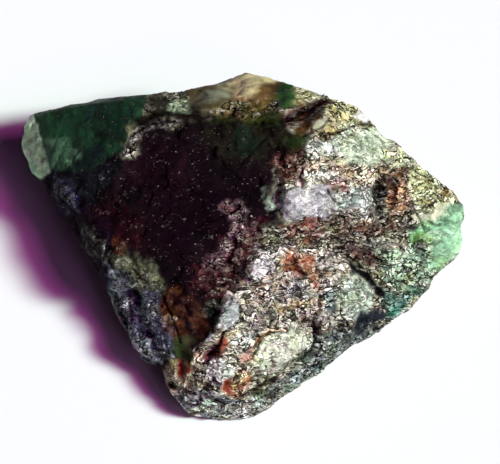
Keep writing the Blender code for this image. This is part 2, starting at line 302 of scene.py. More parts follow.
bm = bmesh.new()
bm.from_mesh(stone.data)
for _ in range(SOFTENING_ROUNDS):
    bmesh.ops.smooth_vert(bm, verts=bm.verts, **SOFTENING)
bm.to_mesh(stone.data)
bm.free()
print("fine copy", len(stone.data.vertices), "points")

# %% [markdown]
# ## Where each point is seen
#
# Carving and painting both ask the same things of every point: its u and v, and how squarely its surface
# faces the eye. NumPy answers for all points at once.


# %% Points as arrays
def smooth_step(low, high, value):
    """0 below low, 1 above high, and an even rise between them."""
    t = np.clip((value - low) / (high - low), 0.0, 1.0)
    return t * t * (3 - 2 * t)


def measure(mesh):
    """The points, the ways they face, u, v and the share in which the eye sees them."""
    count = len(mesh.vertices)
    points = np.empty(3 * count)
    mesh.vertices.foreach_get("co", points)
    points = points.reshape(count, 3)
    facing = np.array([normal.vector for normal in mesh.vertex_normals])
    in_view = points + VIEW_ZERO
    towards_eye = facing @ TO_EYE
    return points, facing, in_view @ ACROSS, in_view @ UPWARD, towards_eye


def by_point(function, points):
    """A function of one place, worked out for every point."""
    return np.array([function(Vector(point)) for point in points])


# %% [markdown]
# ## Outlines and routes
#
# Patches on the stone are drawn as closed outlines in u and v, as one would pencil them on a picture,
# and cracks as routes. For each point the distance to the line is worked out, positive inside, and a
# wavering share of it makes the border ragged like a real mineral's.


# %% Distance to outlines and routes
def line_distance(line, u, v, closed):
    """How far each point is from a line of straight runs."""
    nearest = np.full(len(u), math.inf)
    ends = line[1:] + line[:1] if closed else line[1:]
    for (u0, v0), (u1, v1) in zip(line, ends):
        du, dv = u1 - u0, v1 - v0
        t = np.clip(((u - u0) * du + (v - v0) * dv) / (du * du + dv * dv), 0.0, 1.0)
        nearest = np.minimum(nearest, np.hypot(u - u0 - t * du, v - v0 - t * dv))
    return nearest


def depth_inside(outline, u, v):
    """How far each point is inside an outline, below zero outside."""
    inside = np.zeros(len(u), bool)
    for (u0, v0), (u1, v1) in zip(outline, outline[1:] + outline[:1]):
        if v0 != v1:
            crossing = (v0 > v) != (v1 > v)
            inside ^= crossing & (u < u0 + (u1 - u0) * (v - v0) / (v1 - v0))
    away = line_distance(outline, u, v, closed=True)
    return np.where(inside, away, -away)


# %% [markdown]
# ## The minerals, one patch after another
#
# This is the paint box. Each patch has a name, its colour, the softness of its border in millimetres,
# three shares and its outline. The shares say how flaky it is, how many bright specks it carries and how
# glassy it is; a flaky share above one makes the leaves differ more in lightness. Later patches lie over
# earlier ones, as a painter works from large areas to small ones.
#
# Most of these numbers weren't chosen here by hand. A separate script turned outlines in pixels and tones,
# read off the photograph, into millimetres and linear colours. Then nearly all the colours were scaled, in
# many rounds, by the ratio of each patch's mean colour in the photograph to that in the render, and some
# flaky shares by the ratio of the contrasts. So the colours make up for the light too, and can be bluer or
# paler than the mineral itself.

# %% [markdown]
# ### The dark wall and the cleavage face
#
# The largest area is one dark plane of mica that has split clean off, violet black in the middle and
# redder at its edges, with a green window where beryl shows through. The wall on its left is in shade.

# %% The dark wall and the cleavage face
DARK_FACE = {
    "dark left wall": (
        (0.008, 0.002, 0.007), 0.5, (0.4, 0.5, 0.1),
        [(-23.5, 9.0), (-19.0, 9.5), (-12.0, 9.5), (-4.0, 5.0), (-1.5, -3.0), (-2.5, -8.0),
         (-5.5, -11.0), (-6.5, -14.0), (-9.5, -16.0), (-15.0, -8.0), (-18.0, 1.0)],
    ),
    "dark cleavage face": (
        (0.007, 0.003, 0.005), 0.5, (0.25, 1.0, 0.0),
        [(-15.3, 8.0), (-11.6, 10.0), (-10.8, 11.1), (-9.1, 12.1), (-6.0, 13.5), (-4.0, 13.9),
         (0.0, 13.9), (3.5, 13.9), (6.0, 12.6), (6.8, 10.1), (5.8, 7.9), (3.5, 7.0), (3.2, 5.5),
         (4.5, 4.5), (5.0, 2.5), (2.2, 1.8), (0.8, -1.2), (-0.8, -4.2), (-2.4, -6.8), (-3.4, -9.6),
         (-5.0, -9.6), (-7.3, -6.5), (-8.9, -3.0), (-11.1, 0.5), (-13.6, 3.5), (-15.6, 5.5),
         (-17.1, 6.0), (-18.1, 7.3)],
    ),
    "reddish middle of the dark face": (
        (0.014, 0.003, 0.008), 1.2, (0.3, 1.0, 0.0),
        [(-11.1, 10.1), (-7.0, 10.1), (-5.5, 7.0), (-6.5, 4.0), (-9.1, 4.5), (-11.1, 7.0)],
    ),
    "violet black middle": (
        (0.006, 0.001, 0.004), 1.2, (0.2, 1.0, 0.0),
        [(-8.1, 5.0), (-2.5, 6.0), (0.5, 7.0), (2.2, 6.0), (0.0, 3.5), (-4.0, 0.0), (-5.0, -4.0),
         (-7.0, -3.0), (-8.6, 1.0)],
    ),
    "rusty left edge of the dark face": (
        (0.022, 0.003, 0.007), 0.8, (0.4, 1.0, 0.0),
        [(-14.1, 4.5), (-11.6, 4.5), (-10.1, 2.5), (-9.1, 0.0), (-10.6, 0.0), (-12.6, 2.0)],
    ),
    "red fringe of the dark face": (
        (0.095, 0.016, 0.026), 0.8, (0.8, 1.0, 0.0),
        [(-3.5, -1.8), (-0.5, 1.8), (2.2, 2.2), (1.0, -0.8), (-0.8, -4.2), (-2.4, -6.8), (-3.4, -5.0)],
    ),
    "dark green window": (
        (0.012, 0.009, 0.006), 1.0, (0.25, 0.8, 0.2),
        [(-3.5, 12.3), (0.0, 13.3), (3.2, 12.9), (3.6, 11.1), (2.2, 9.1), (-0.2, 8.5), (-2.6, 9.5),
         (-3.8, 10.9)],
    ),
    "teal in the window": (
        (0.009, 0.018, 0.010), 0.5, (0.25, 0.8, 0.2),
        [(-1.2, 11.8), (0.6, 12.2), (2.4, 11.4), (2.0, 10.0), (0.4, 9.4), (-1.0, 10.2)],
    ),
    "olive above the window": (
        (0.020, 0.030, 0.006), 0.5, (0.4, 0.8, 0.2),
        [(-3.4, 13.6), (0.0, 14.0), (3.6, 13.8), (3.8, 12.6), (1.8, 12.2), (-1.0, 12.6), (-3.2, 12.8)],
    ),
}
print("patches here", len(DARK_FACE))

# %% [markdown]
# ### The crystal
#
# The crystal is deep green and glassy. Its broken end on the left is pale, because light scatters in the
# fine cracks there, and its colour is lifted further as painted light, because it lies in shade here. A
# crust of rock flakes lies along its right edge.

# %% The crystal
CRYSTAL = {
    "green crystal": (
        (0.014, 0.053, 0.023), 0.12, (0.15, 0.5, 1.0),
        [(-21.8, 14.1), (-18.1, 14.9), (-15.1, 15.6), (-9.4, 16.1), (-9.6, 14.1), (-10.1, 12.6),
         (-11.5, 10.1), (-15.3, 8.0), (-19.4, 7.8), (-20.5, 10.1)],
    ),
    "green glow in the crystal": (
        (0.006, 0.012, 0.008), 0.8, (0.15, 0.4, 1.0),
        [(-15.3, 15.1), (-10.1, 15.5), (-10.5, 13.3), (-12.1, 11.1), (-14.3, 10.5), (-15.1, 13.1)],
    ),
    "dark crystal foot": (
        (0.009, 0.018, 0.017), 0.5, (0.15, 0.4, 0.9),
        [(-19.1, 10.1), (-15.1, 10.3), (-12.9, 9.6), (-15.3, 7.9), (-19.4, 7.8)],
    ),
    "cloudy lower left of the crystal": (
        (0.085, 0.21, 0.11), 0.45, (0.2, 1.0, 0.8),
        [(-19.4, 11.3), (-18.0, 11.6), (-16.7, 10.8), (-16.3, 9.3), (-17.2, 8.5), (-19.0, 8.5),
         (-19.6, 9.8)],
    ),
    "light streaks on the crystal": (
        (0.016, 0.051, 0.038), 0.3, (0.2, 1.0, 0.8),
        [(-15.9, 14.6), (-15.0, 14.9), (-14.9, 13.6), (-15.4, 12.4), (-15.9, 12.9)],
    ),
    "teal of the crystal": (
        (0.011, 0.041, 0.021), 0.6, (0.15, 0.8, 1.0),
        [(-14.3, 15.2), (-11.4, 15.6), (-10.6, 14.2), (-12.4, 12.6), (-14.2, 12.4)],
    ),
    "light upper edge of the crystal": (
        (0.060, 0.11, 0.070), 0.18, (0.3, 1.0, 0.6),
        [(-20.6, 14.1), (-18.4, 14.7), (-16.4, 15.2), (-16.6, 14.7), (-18.6, 14.2), (-20.4, 13.6)],
    ),
    "dark lump under the crystal": (
        (0.008, 0.009, 0.013), 0.3, (0.4, 1.0, 0.4),
        [(-19.3, 7.8), (-15.3, 7.9), (-13.3, 9.1), (-11.9, 8.8), (-12.5, 7.0), (-14.1, 5.5),
         (-16.1, 5.2), (-18.1, 6.0)],
    ),
    # Painted light: this end's colour is lifted far above its mineral's, because it lies in shade here.
    "pale crystal end": (
        (0.54, 0.88, 0.52), 0.1, (0.3, 0.5, 0.9),
        [(-22.8, 12.0), (-22.2, 13.5), (-21.2, 13.9), (-20.5, 12.5), (-19.9, 10.1), (-19.2, 7.7),
         (-20.7, 7.0), (-22.2, 9.9)],
    ),
    "yellow end of the crust": (
        (0.16, 0.15, 0.093), 0.3, (0.5, 0.8, 0.1),
        [(-12.0, 11.0), (-11.6, 12.6), (-10.4, 12.9), (-10.0, 12.1), (-10.9, 11.2)],
    ),
    "crust on the crystal's edge": (
        (0.22, 0.21, 0.22), 0.1, (0.9, 1.0, 0.0),
        [(-11.9, 9.8), (-11.3, 11.5), (-10.3, 12.4), (-8.9, 12.6), (-6.8, 12.9), (-5.9, 13.7),
         (-5.6, 13.5), (-6.7, 12.5), (-8.9, 12.2), (-9.9, 11.9), (-10.6, 11.2), (-11.5, 9.8)],
    ),
}
print("patches here", len(CRYSTAL))

# %% [markdown]
# ### The far rim and the quartz
#
# The quartz is a small rounded lump that goes from grey on the left through cream to orange. Dark crust
# lies under it, and a bit of green beryl on its right.

# %% The far rim and the quartz
QUARTZ = {
    "brown crust under the rim": (
        (0.001, 0.001, 0.001), 0.3, (0.4, 0.7, 0.0),
        [(-9.8, 14.0), (-5.4, 13.8), (-6.0, 13.3), (-8.1, 13.0), (-9.9, 12.7)],
    ),
    "dark band under the quartz": (
        (0.006, 0.004, 0.003), 0.3, (0.3, 0.6, 0.0),
        [(-10.2, 13.6), (-8.0, 14.0), (-6.5, 14.5), (-4.0, 14.6), (-2.6, 14.3), (-2.6, 13.0),
         (-4.5, 12.6), (-6.5, 13.0), (-10.0, 12.6)],
    ),
    "olive rim": (
        (0.020, 0.018, 0.009), 0.3, (0.55, 0.6, 0.2),
        [(-9.4, 15.7), (-6.5, 16.2), (-6.0, 13.9), (-9.3, 13.7)],
    ),
    "pale green bit": (
        (0.35, 0.48, 0.32), 0.25, (0.8, 0.5, 0.4),
        [(-6.9, 15.3), (-5.8, 15.9), (-4.9, 14.7), (-5.2, 13.8), (-6.7, 13.9)],
    ),
    "ground of the quartz": (
        (0.069, 0.048, 0.024), 0.15, (0.15, 0.1, 0.9),
        [(-5.6, 15.9), (-3.4, 17.6), (-0.8, 18.4), (1.5, 19.2), (3.5, 18.6), (4.6, 17.2), (4.0, 15.3),
         (2.6, 14.2), (-0.6, 14.2), (-3.5, 14.1), (-5.2, 14.5)],
    ),
    "grey quartz": (
        (0.091, 0.077, 0.038), 0.4, (0.15, 0.2, 1.0),
        [(-5.0, 15.7), (-3.5, 16.7), (-0.8, 17.1), (-0.6, 14.5), (-3.5, 14.1), (-4.7, 14.5)],
    ),
    "blue grey core of the quartz": (
        (0.23, 0.25, 0.16), 0.35, (0.1, 0.1, 1.0),
        [(-4.2, 15.4), (-3.2, 16.2), (-1.8, 16.3), (-1.5, 15.4), (-2.8, 15.0)],
    ),
    "cream quartz": (
        (0.73, 0.64, 0.33), 0.5, (0.15, 0.1, 1.0),
        [(-0.8, 16.7), (-0.2, 17.7), (1.6, 18.3), (3.2, 17.9), (3.0, 16.7), (1.8, 15.5), (0.2, 15.3),
         (-1.0, 15.5)],
    ),
    "tan quartz": (
        (0.31, 0.18, 0.094), 0.4, (0.4, 0.3, 0.7),
        [(-1.0, 15.7), (0.6, 15.5), (1.2, 14.3), (0.4, 13.3), (-1.2, 13.3), (-1.8, 14.5)],
    ),
    "orange quartz": (
        (0.10, 0.057, 0.019), 0.4, (0.4, 0.3, 0.8),
        [(2.0, 16.3), (3.1, 17.3), (3.9, 16.5), (3.7, 14.7), (2.6, 13.9), (1.6, 14.3), (1.4, 15.3)],
    ),
    "pits under the quartz": (
        (0.14, 0.12, 0.017), 0.4, (0.95, 0.7, 0.2),
        [(-2.4, 14.7), (-0.6, 14.9), (1.0, 14.5), (3.6, 14.9), (3.8, 13.9), (1.6, 13.3), (-1.4, 13.5)],
    ),
    "deep green patch": (
        (0.017, 0.057, 0.013), 0.3, (0.3, 0.3, 0.7),
        [(3.8, 16.9), (6.0, 16.9), (6.6, 16.1), (5.6, 14.7), (4.4, 13.5), (3.7, 14.3)],
    ),
}
print("patches here", len(QUARTZ))

# %% [markdown]
# ### The upper right
#
# Behind the dark face the rock turns pale. A maroon cleft cuts it off, yellow green flakes line the rim,
# and one large mint plate lies flat in the light.

# %% The upper right
UPPER_RIGHT = {
    "cream green rim": (
        (0.40, 0.37, 0.17), 0.25, (0.7, 0.4, 0.2),
        [(5.8, 16.7), (7.5, 16.5), (8.7, 15.6), (7.7, 14.8), (6.0, 14.4), (5.3, 14.7)],
    ),
    "maroon cleft": (
        (0.049, 0.001, 0.001), 0.25, (0.65, 0.8, 0.0),
        [(4.2, 13.9), (6.0, 14.7), (7.9, 15.4), (9.2, 15.8), (9.5, 14.7), (7.7, 14.1), (6.0, 13.1),
         (4.8, 12.5), (3.9, 12.9)],
    ),
    "olive brown behind the cleft": (
        (0.058, 0.016, 0.001), 0.4, (0.6, 0.4, 0.1),
        [(6.0, 13.3), (8.3, 14.4), (9.3, 14.8), (8.7, 13.1), (7.3, 11.7), (6.0, 11.5), (5.2, 12.3)],
    ),
    "dark green hollow": (
        (0.016, 0.027, 0.006), 0.6, (0.3, 0.5, 0.1),
        [(4.4, 12.3), (6.2, 11.9), (7.0, 10.9), (6.6, 9.7), (5.2, 9.7), (4.0, 10.9)],
    ),
    "yellow green flakes": (
        (0.49, 0.46, 0.21), 0.3, (0.8, 0.3, 0.1),
        [(8.7, 15.1), (10.6, 15.5), (12.3, 14.8), (13.5, 13.3), (13.9, 12.3), (11.3, 12.4),
         (9.9, 11.7), (8.6, 11.7), (7.9, 12.9)],
    ),
    "orange rim": (
        (0.85, 0.85, 0.47), 0.25, (0.9, 0.3, 0.1),
        [(8.5, 15.4), (9.7, 15.8), (11.5, 15.3), (11.7, 14.5), (10.1, 14.4), (8.9, 14.4)],
    ),
    "white flake at the rim": (
        (0.85, 0.85, 0.82), 0.15, (0.4, 0.2, 0.2),
        [(11.8, 13.8), (12.7, 14.1), (13.3, 13.2), (12.5, 12.9), (11.7, 13.2)],
    ),
    "grey cream flake": (
        (0.41, 0.41, 0.28), 0.12, (0.3, 0.2, 0.3),
        [(6.9, 12.1), (7.8, 13.1), (8.9, 13.6), (8.8, 12.8), (7.6, 11.9)],
    ),
    "mint plate": (
        (0.52, 0.60, 0.45), 0.3, (0.65, 0.3, 0.3),
        [(8.5, 11.1), (10.6, 12.2), (13.7, 12.4), (15.5, 11.1), (16.3, 9.9), (15.5, 8.5), (12.1, 8.3),
         (9.6, 8.5), (8.3, 9.5)],
    ),
    "grey end of the mint plate": (
        (0.60, 0.65, 0.61), 0.3, (0.75, 0.5, 0.2),
        [(6.4, 10.3), (7.9, 11.5), (9.5, 11.8), (10.1, 10.9), (9.7, 9.7), (7.9, 9.3), (6.3, 9.5)],
    ),
    "orange flecks beside the mint": (
        (0.63, 0.66, 0.37), 0.3, (1.05, 0.5, 0.0),
        [(14.7, 10.1), (16.3, 10.1), (17.3, 9.1), (16.1, 8.6), (14.9, 9.1)],
    ),
    "pale rim beside the ridge": (
        (0.85, 0.85, 0.69), 0.2, (0.8, 0.3, 0.1),
        [(15.5, 9.1), (17.5, 9.2), (19.1, 8.3), (18.5, 7.6), (15.9, 8.0)],
    ),
}
print("patches here", len(UPPER_RIGHT))

# %% [markdown]
# ### Plates and ridges on the right
#
# Thin plates lie over each other here like shingles: lavender, grey green and white, with rust where
# water has crept in between them. A drop in painted shade, a dark red hollow and a rusty slope end them.

# %% Plates and ridges on the right
PLATES = {
    "brown and cream band": (
        (0.80, 0.65, 0.50), 0.3, (0.95, 0.5, 0.0),
        [(5.8, 9.3), (9.1, 9.1), (13.7, 8.4), (15.3, 7.9), (14.7, 6.8), (11.1, 6.5), (8.1, 7.3),
         (5.4, 7.3)],
    ),
    "lined lavender edge": (
        (0.85, 0.85, 0.85), 0.3, (0.75, 0.6, 0.0),
        [(4.2, 5.8), (5.2, 7.5), (7.9, 8.0), (9.9, 7.3), (9.1, 6.2), (6.0, 5.8)],
    ),
    "lavender plate": (
        (0.48, 0.44, 0.51), 0.25, (0.6, 0.4, 0.3),
        [(4.0, 4.4), (4.6, 6.0), (6.4, 6.4), (9.1, 6.2), (9.9, 5.0), (9.1, 3.4), (7.3, 2.4),
         (5.0, 2.8)],
    ),
    "green grey end of the plate": (
        (0.79, 0.85, 0.85), 0.2, (0.75, 0.5, 0.3),
        [(9.5, 6.2), (11.1, 6.5), (13.2, 6.3), (13.5, 4.5), (13.0, 3.2), (10.9, 3.3), (9.5, 4.2)],
    ),
    "rust streak on the plate": (
        (0.64, 0.20, 0.23), 0.3, (1.05, 0.4, 0.0),
        [(8.9, 6.8), (10.3, 7.0), (10.5, 6.3), (9.1, 6.1)],
    ),
    # Painted shade: the drop is painted near black, darker than its rock.
    "drop in painted shade": (
        (0.004, 0.002, 0.002), 0.25, (0.8, 0.6, 0.0),
        [(13.3, 6.6), (14.5, 7.3), (15.4, 6.0), (15.0, 3.8), (14.2, 2.7), (13.2, 3.4)],
    ),
    "rust brown slope": (
        (0.46, 0.25, 0.15), 0.35, (1.1, 0.5, 0.0),
        [(15.1, 7.7), (17.1, 8.5), (17.8, 7.5), (17.4, 5.4), (17.0, 3.6), (15.5, 3.6), (14.8, 5.4)],
    ),
    "dark red hollow": (
        (0.034, 0.007, 0.007), 0.25, (0.8, 0.5, 0.0),
        [(14.6, 6.9), (16.0, 7.5), (16.4, 6.4), (15.1, 5.7)],
    ),
    "yellow green ridge": (
        (0.59, 0.64, 0.34), 0.3, (0.8, 0.3, 0.1),
        [(17.4, 8.1), (18.9, 8.6), (20.7, 7.3), (22.2, 5.6), (22.0, 4.3), (20.1, 3.6), (18.7, 3.6),
         (17.3, 4.8), (17.2, 6.6)],
    ),
    "brown rim of the ridge": (
        (0.30, 0.22, 0.061), 0.25, (0.9, 0.3, 0.1),
        [(20.5, 6.9), (22.1, 5.9), (22.3, 4.9), (21.1, 4.9), (20.1, 6.0)],
    ),
}
print("patches here", len(PLATES))

# %% [markdown]
# ### The mint tip and the valley
#
# The right corner is the second green spot, pale and glassy. A brown valley runs to it from the dark
# face, and thin green layers lie below it.

# %% The mint tip and the valley
MINT_TIP = {
    "white facet": (
        (0.65, 0.64, 0.47), 0.12, (0.3, 0.2, 0.3),
        [(17.4, 3.5), (19.1, 3.7), (20.1, 4.6), (21.5, 4.6), (21.1, 3.8), (19.7, 2.8), (18.7, 2.1)],
    ),
    "mint tip": (
        (0.29, 0.52, 0.33), 0.2, (0.55, 0.3, 1.0),
        [(21.1, 4.2), (22.5, 4.7), (23.0, 3.5), (22.9, 1.0), (22.0, -0.7), (20.3, -2.0), (18.9, -2.6),
         (18.6, -0.8), (18.5, 1.0), (19.1, 2.4), (20.1, 3.2)],
    ),
    "green in the mint tip": (
        (0.21, 0.43, 0.26), 0.3, (0.6, 0.3, 0.8),
        [(19.1, 3.2), (20.7, 3.9), (21.2, 3.1), (20.2, 1.9), (19.3, 1.0), (18.3, 1.0), (17.1, 0.6),
         (16.9, 1.6)],
    ),
    "fresh green beside the pocket": (
        (0.20, 0.45, 0.11), 0.25, (0.6, 0.3, 0.4),
        [(16.8, 0.1), (17.0, 0.9), (18.4, 1.8), (19.4, 1.2), (19.2, 0.2), (17.8, -0.2)],
    ),
    "black pocket": (
        (0.008, 0.010, 0.007), 0.15, (0.5, 0.3, 0.0),
        [(16.2, 2.6), (17.2, 2.4), (18.4, 2.2), (17.8, 1.8), (17.0, 1.7), (16.6, 1.9)],
    ),
    "brown valley": (
        (0.16, 0.073, 0.055), 0.4, (1.3, 0.8, 0.0),
        [(6.0, 2.8), (9.1, 3.4), (13.3, 3.2), (15.6, 3.5), (17.0, 2.8), (16.5, 1.6), (14.6, 1.0),
         (12.1, 0.8), (9.6, 1.4), (6.5, 1.6)],
    ),
    "rust under the plate": (
        (0.24, 0.050, 0.050), 0.35, (0.9, 0.5, 0.0),
        [(6.0, 2.6), (7.9, 3.6), (9.1, 3.2), (8.3, 1.8), (6.0, 1.2), (4.4, 1.2), (4.0, 2.2)],
    ),
    "grey green flecks": (
        (0.42, 0.43, 0.40), 0.35, (1.35, 0.8, 0.0),
        [(12.3, 1.2), (15.1, 1.5), (16.7, 1.0), (15.9, -0.4), (13.3, -0.6)],
    ),
    "green layers": (
        (0.40, 0.60, 0.44), 0.35, (1.3, 0.6, 0.2),
        [(13.5, -0.6), (15.7, 0.0), (17.1, 0.7), (18.9, 0.6), (19.2, -1.2), (19.5, -2.8), (18.5, -4.0),
         (16.1, -4.2), (14.7, -3.1), (13.7, -2.0)],
    ),
    "dark green edge": (
        (0.029, 0.14, 0.11), 0.3, (1.2, 0.8, 0.3),
        [(14.3, -4.0), (16.1, -4.0), (18.7, -3.4), (18.9, -4.2), (17.3, -5.6), (16.1, -6.8),
         (14.3, -7.0), (13.7, -5.6)],
    ),
}
print("patches here", len(MINT_TIP))

# %% [markdown]
# ### The middle of the rock
#
# The middle is a crowd of cream and grey flakes with one rust patch, a crevice in painted shade, and a
# pale boulder beside it. The dark strip along the lower edge is the same rock turned away from the light.

# %% The middle of the rock
MIDDLE = {
    "cream rock": (
        (0.53, 0.45, 0.44), 0.5, (1.2, 0.7, 0.0),
        [(-0.2, -4.2), (1.8, -1.4), (4.0, 0.2), (9.1, 1.2), (11.3, -0.6), (11.7, -2.6), (10.1, -4.0),
         (9.3, -7.0), (6.0, -8.3), (2.2, -9.1), (0.0, -8.6), (-1.4, -6.2)],
    ),
    "lavender white rock": (
        (0.85, 0.79, 0.85), 0.3, (0.75, 0.7, 0.0),
        [(0.7, -2.8), (1.1, -0.8), (2.6, 0.5), (3.9, -0.1), (3.7, -1.8), (2.2, -2.7)],
    ),
    "rust patch": (
        (0.42, 0.13, 0.07), 0.3, (0.75, 0.4, 0.0),
        [(3.9, -0.6), (5.8, -0.1), (7.3, -0.7), (7.9, -2.4), (7.6, -3.5), (6.0, -2.9), (4.4, -2.0)],
    ),
    "green grey under the rust": (
        (0.17, 0.16, 0.23), 0.35, (1.3, 0.8, 0.0),
        [(4.6, -3.6), (6.4, -3.2), (7.3, -4.4), (6.4, -5.4), (5.0, -5.0)],
    ),
    "purple above the crevice": (
        (0.24, 0.13, 0.13), 0.3, (0.95, 0.5, 0.0),
        [(10.3, 1.4), (11.8, 0.9), (13.2, 0.1), (13.6, -0.9), (12.6, -1.4), (11.3, -0.3), (10.2, 0.3)],
    ),
    # Painted shade: the crevice is painted near black, as its shadow.
    "purple crevice": (
        (0.003, 0.002, 0.003), 0.12, (0.3, 0.4, 0.0),
        [(10.7, -0.5), (11.6, -1.0), (12.0, -2.0), (13.1, -2.5), (13.7, -3.5), (15.0, -4.5),
         (14.2, -5.1), (12.9, -4.2), (12.5, -3.0), (11.3, -2.4), (11.0, -1.3)],
    ),
    "facets beside the boulder": (
        (0.11, 0.18, 0.24), 0.25, (1.1, 0.7, 0.1),
        [(8.3, -3.8), (9.7, -3.3), (10.2, -5.0), (9.6, -6.4), (8.4, -5.6)],
    ),
    "pale boulder": (
        (0.50, 0.58, 0.50), 0.25, (0.7, 0.4, 0.1),
        [(9.9, -3.8), (10.7, -2.8), (12.0, -2.9), (13.1, -4.1), (13.2, -5.8), (12.3, -7.0),
         (10.9, -7.8), (9.9, -6.1)],
    ),
    "dark strip": (
        (0.16, 0.22, 0.24), 0.4, (1.35, 1.0, 0.2),
        [(7.3, -8.5), (10.1, -7.8), (11.7, -8.2), (13.9, -7.7), (16.3, -6.4), (16.9, -6.8),
         (14.5, -8.9), (11.7, -10.5), (9.1, -12.7), (6.0, -14.7), (4.4, -15.7), (2.2, -16.3),
         (1.6, -15.4), (3.6, -13.7), (5.2, -12.1), (6.4, -10.3)],
    ),
    "black glassy spot": (
        (0.008, 0.014, 0.023), 0.15, (0.5, 0.6, 0.8),
        [(11.4, -8.0), (11.9, -7.0), (12.1, -6.2), (12.8, -6.4), (13.4, -5.8), (14.2, -6.2),
         (15.2, -6.3), (14.4, -7.0), (13.5, -7.5), (12.6, -8.5), (11.8, -8.6)],
    ),
}
print("patches here", len(MIDDLE))

# %% [markdown]
# ### The cream swell and the pockets
#
# The brightest part is a smooth swell of cream mica. Left of it are a glassy facet and small pockets with
# red and orange stain.

# %% The cream swell and the pockets
SWELL = {
    "bright cream swell": (
        (0.83, 0.85, 0.71), 0.35, (0.7, 0.4, 0.1),
        [(1.6, -8.9), (4.4, -7.9), (6.7, -7.6), (7.4, -9.1), (6.1, -10.4), (5.0, -12.3), (3.0, -13.0),
         (1.4, -11.9), (1.2, -10.1)],
    ),
    "ochre line": (
        (0.45, 0.22, 0.058), 0.15, (0.8, 0.3, 0.0),
        [(1.2, -9.6), (2.0, -8.6), (3.2, -8.0), (4.8, -7.9), (4.8, -8.2), (3.2, -8.4), (2.2, -9.1),
         (1.5, -10.0)],
    ),
    "lavender fleck": (
        (0.85, 0.84, 0.85), 0.25, (1.05, 0.8, 0.0),
        [(-1.0, -7.9), (0.9, -7.4), (1.5, -8.8), (0.5, -9.8), (-0.8, -9.4)],
    ),
    "grey glassy facet": (
        (0.49, 0.51, 0.54), 0.12, (0.6, 0.4, 0.5),
        [(-2.4, -7.4), (-1.8, -5.8), (-0.8, -5.1), (0.0, -5.6), (-0.1, -7.0), (-1.2, -8.0)],
    ),
    "green black patch": (
        (0.010, 0.016, 0.010), 0.3, (0.7, 1.0, 0.2),
        [(-3.9, -6.8), (-3.4, -5.0), (-2.0, -4.5), (-1.5, -5.6), (-2.6, -7.4)],
    ),
    "cream around the red pocket": (
        (0.85, 0.66, 0.55), 0.3, (1.0, 0.6, 0.0),
        [(-4.6, -10.6), (-3.4, -9.6), (-2.2, -8.0), (-0.9, -8.8), (-1.4, -10.4), (-2.8, -11.6),
         (-4.2, -11.4)],
    ),
    "red pocket": (
        (0.17, 0.020, 0.012), 0.22, (0.6, 0.6, 0.0),
        [(-3.7, -11.0), (-2.9, -9.9), (-2.3, -8.5), (-1.6, -8.4), (-1.0, -9.3), (-1.7, -10.4),
         (-2.7, -11.4)],
    ),
    "pale lavender fleck": (
        (0.85, 0.80, 0.84), 0.08, (0.6, 0.3, 0.0),
        [(-3.4, -9.1), (-3.1, -8.2), (-2.6, -8.4), (-2.8, -9.2)],
    ),
    "pale green flakes": (
        (0.85, 0.85, 0.85), 0.25, (0.75, 0.5, 0.1),
        [(-3.4, -12.5), (-2.8, -11.2), (-1.6, -10.7), (-0.3, -11.1), (-0.1, -12.5), (-1.1, -13.5),
         (-2.8, -13.4)],
    ),
    "orange pocket": (
        (0.48, 0.16, 0.06), 0.25, (0.9, 0.5, 0.1),
        [(-1.8, -14.2), (-1.2, -12.9), (0.0, -12.4), (1.2, -13.0), (1.0, -14.2), (-0.3, -14.7)],
    ),
    "red rim of the orange pocket": (
        (0.22, 0.030, 0.012), 0.15, (0.5, 0.3, 0.0),
        [(-1.7, -13.9), (-1.6, -12.9), (-0.8, -12.7), (-0.9, -13.6), (-0.4, -14.3), (-1.2, -14.5)],
    ),
    "yellow of the orange pocket": (
        (0.85, 0.60, 0.26), 0.18, (0.9, 0.6, 0.1),
        [(-0.7, -13.3), (-0.2, -12.5), (0.5, -12.8), (0.3, -13.6), (-0.3, -13.9)],
    ),
    "rust fleck": (
        (0.84, 0.44, 0.38), 0.2, (0.75, 0.3, 0.0),
        [(0.0, -10.3), (1.2, -10.0), (1.5, -11.1), (0.3, -11.6)],
    ),
}
print("patches here", len(SWELL))

# %% [markdown]
# ### The near end
#
# Rust, green and dark red meet where the dark face runs out. Below them the rock ends in split grey
# layers.

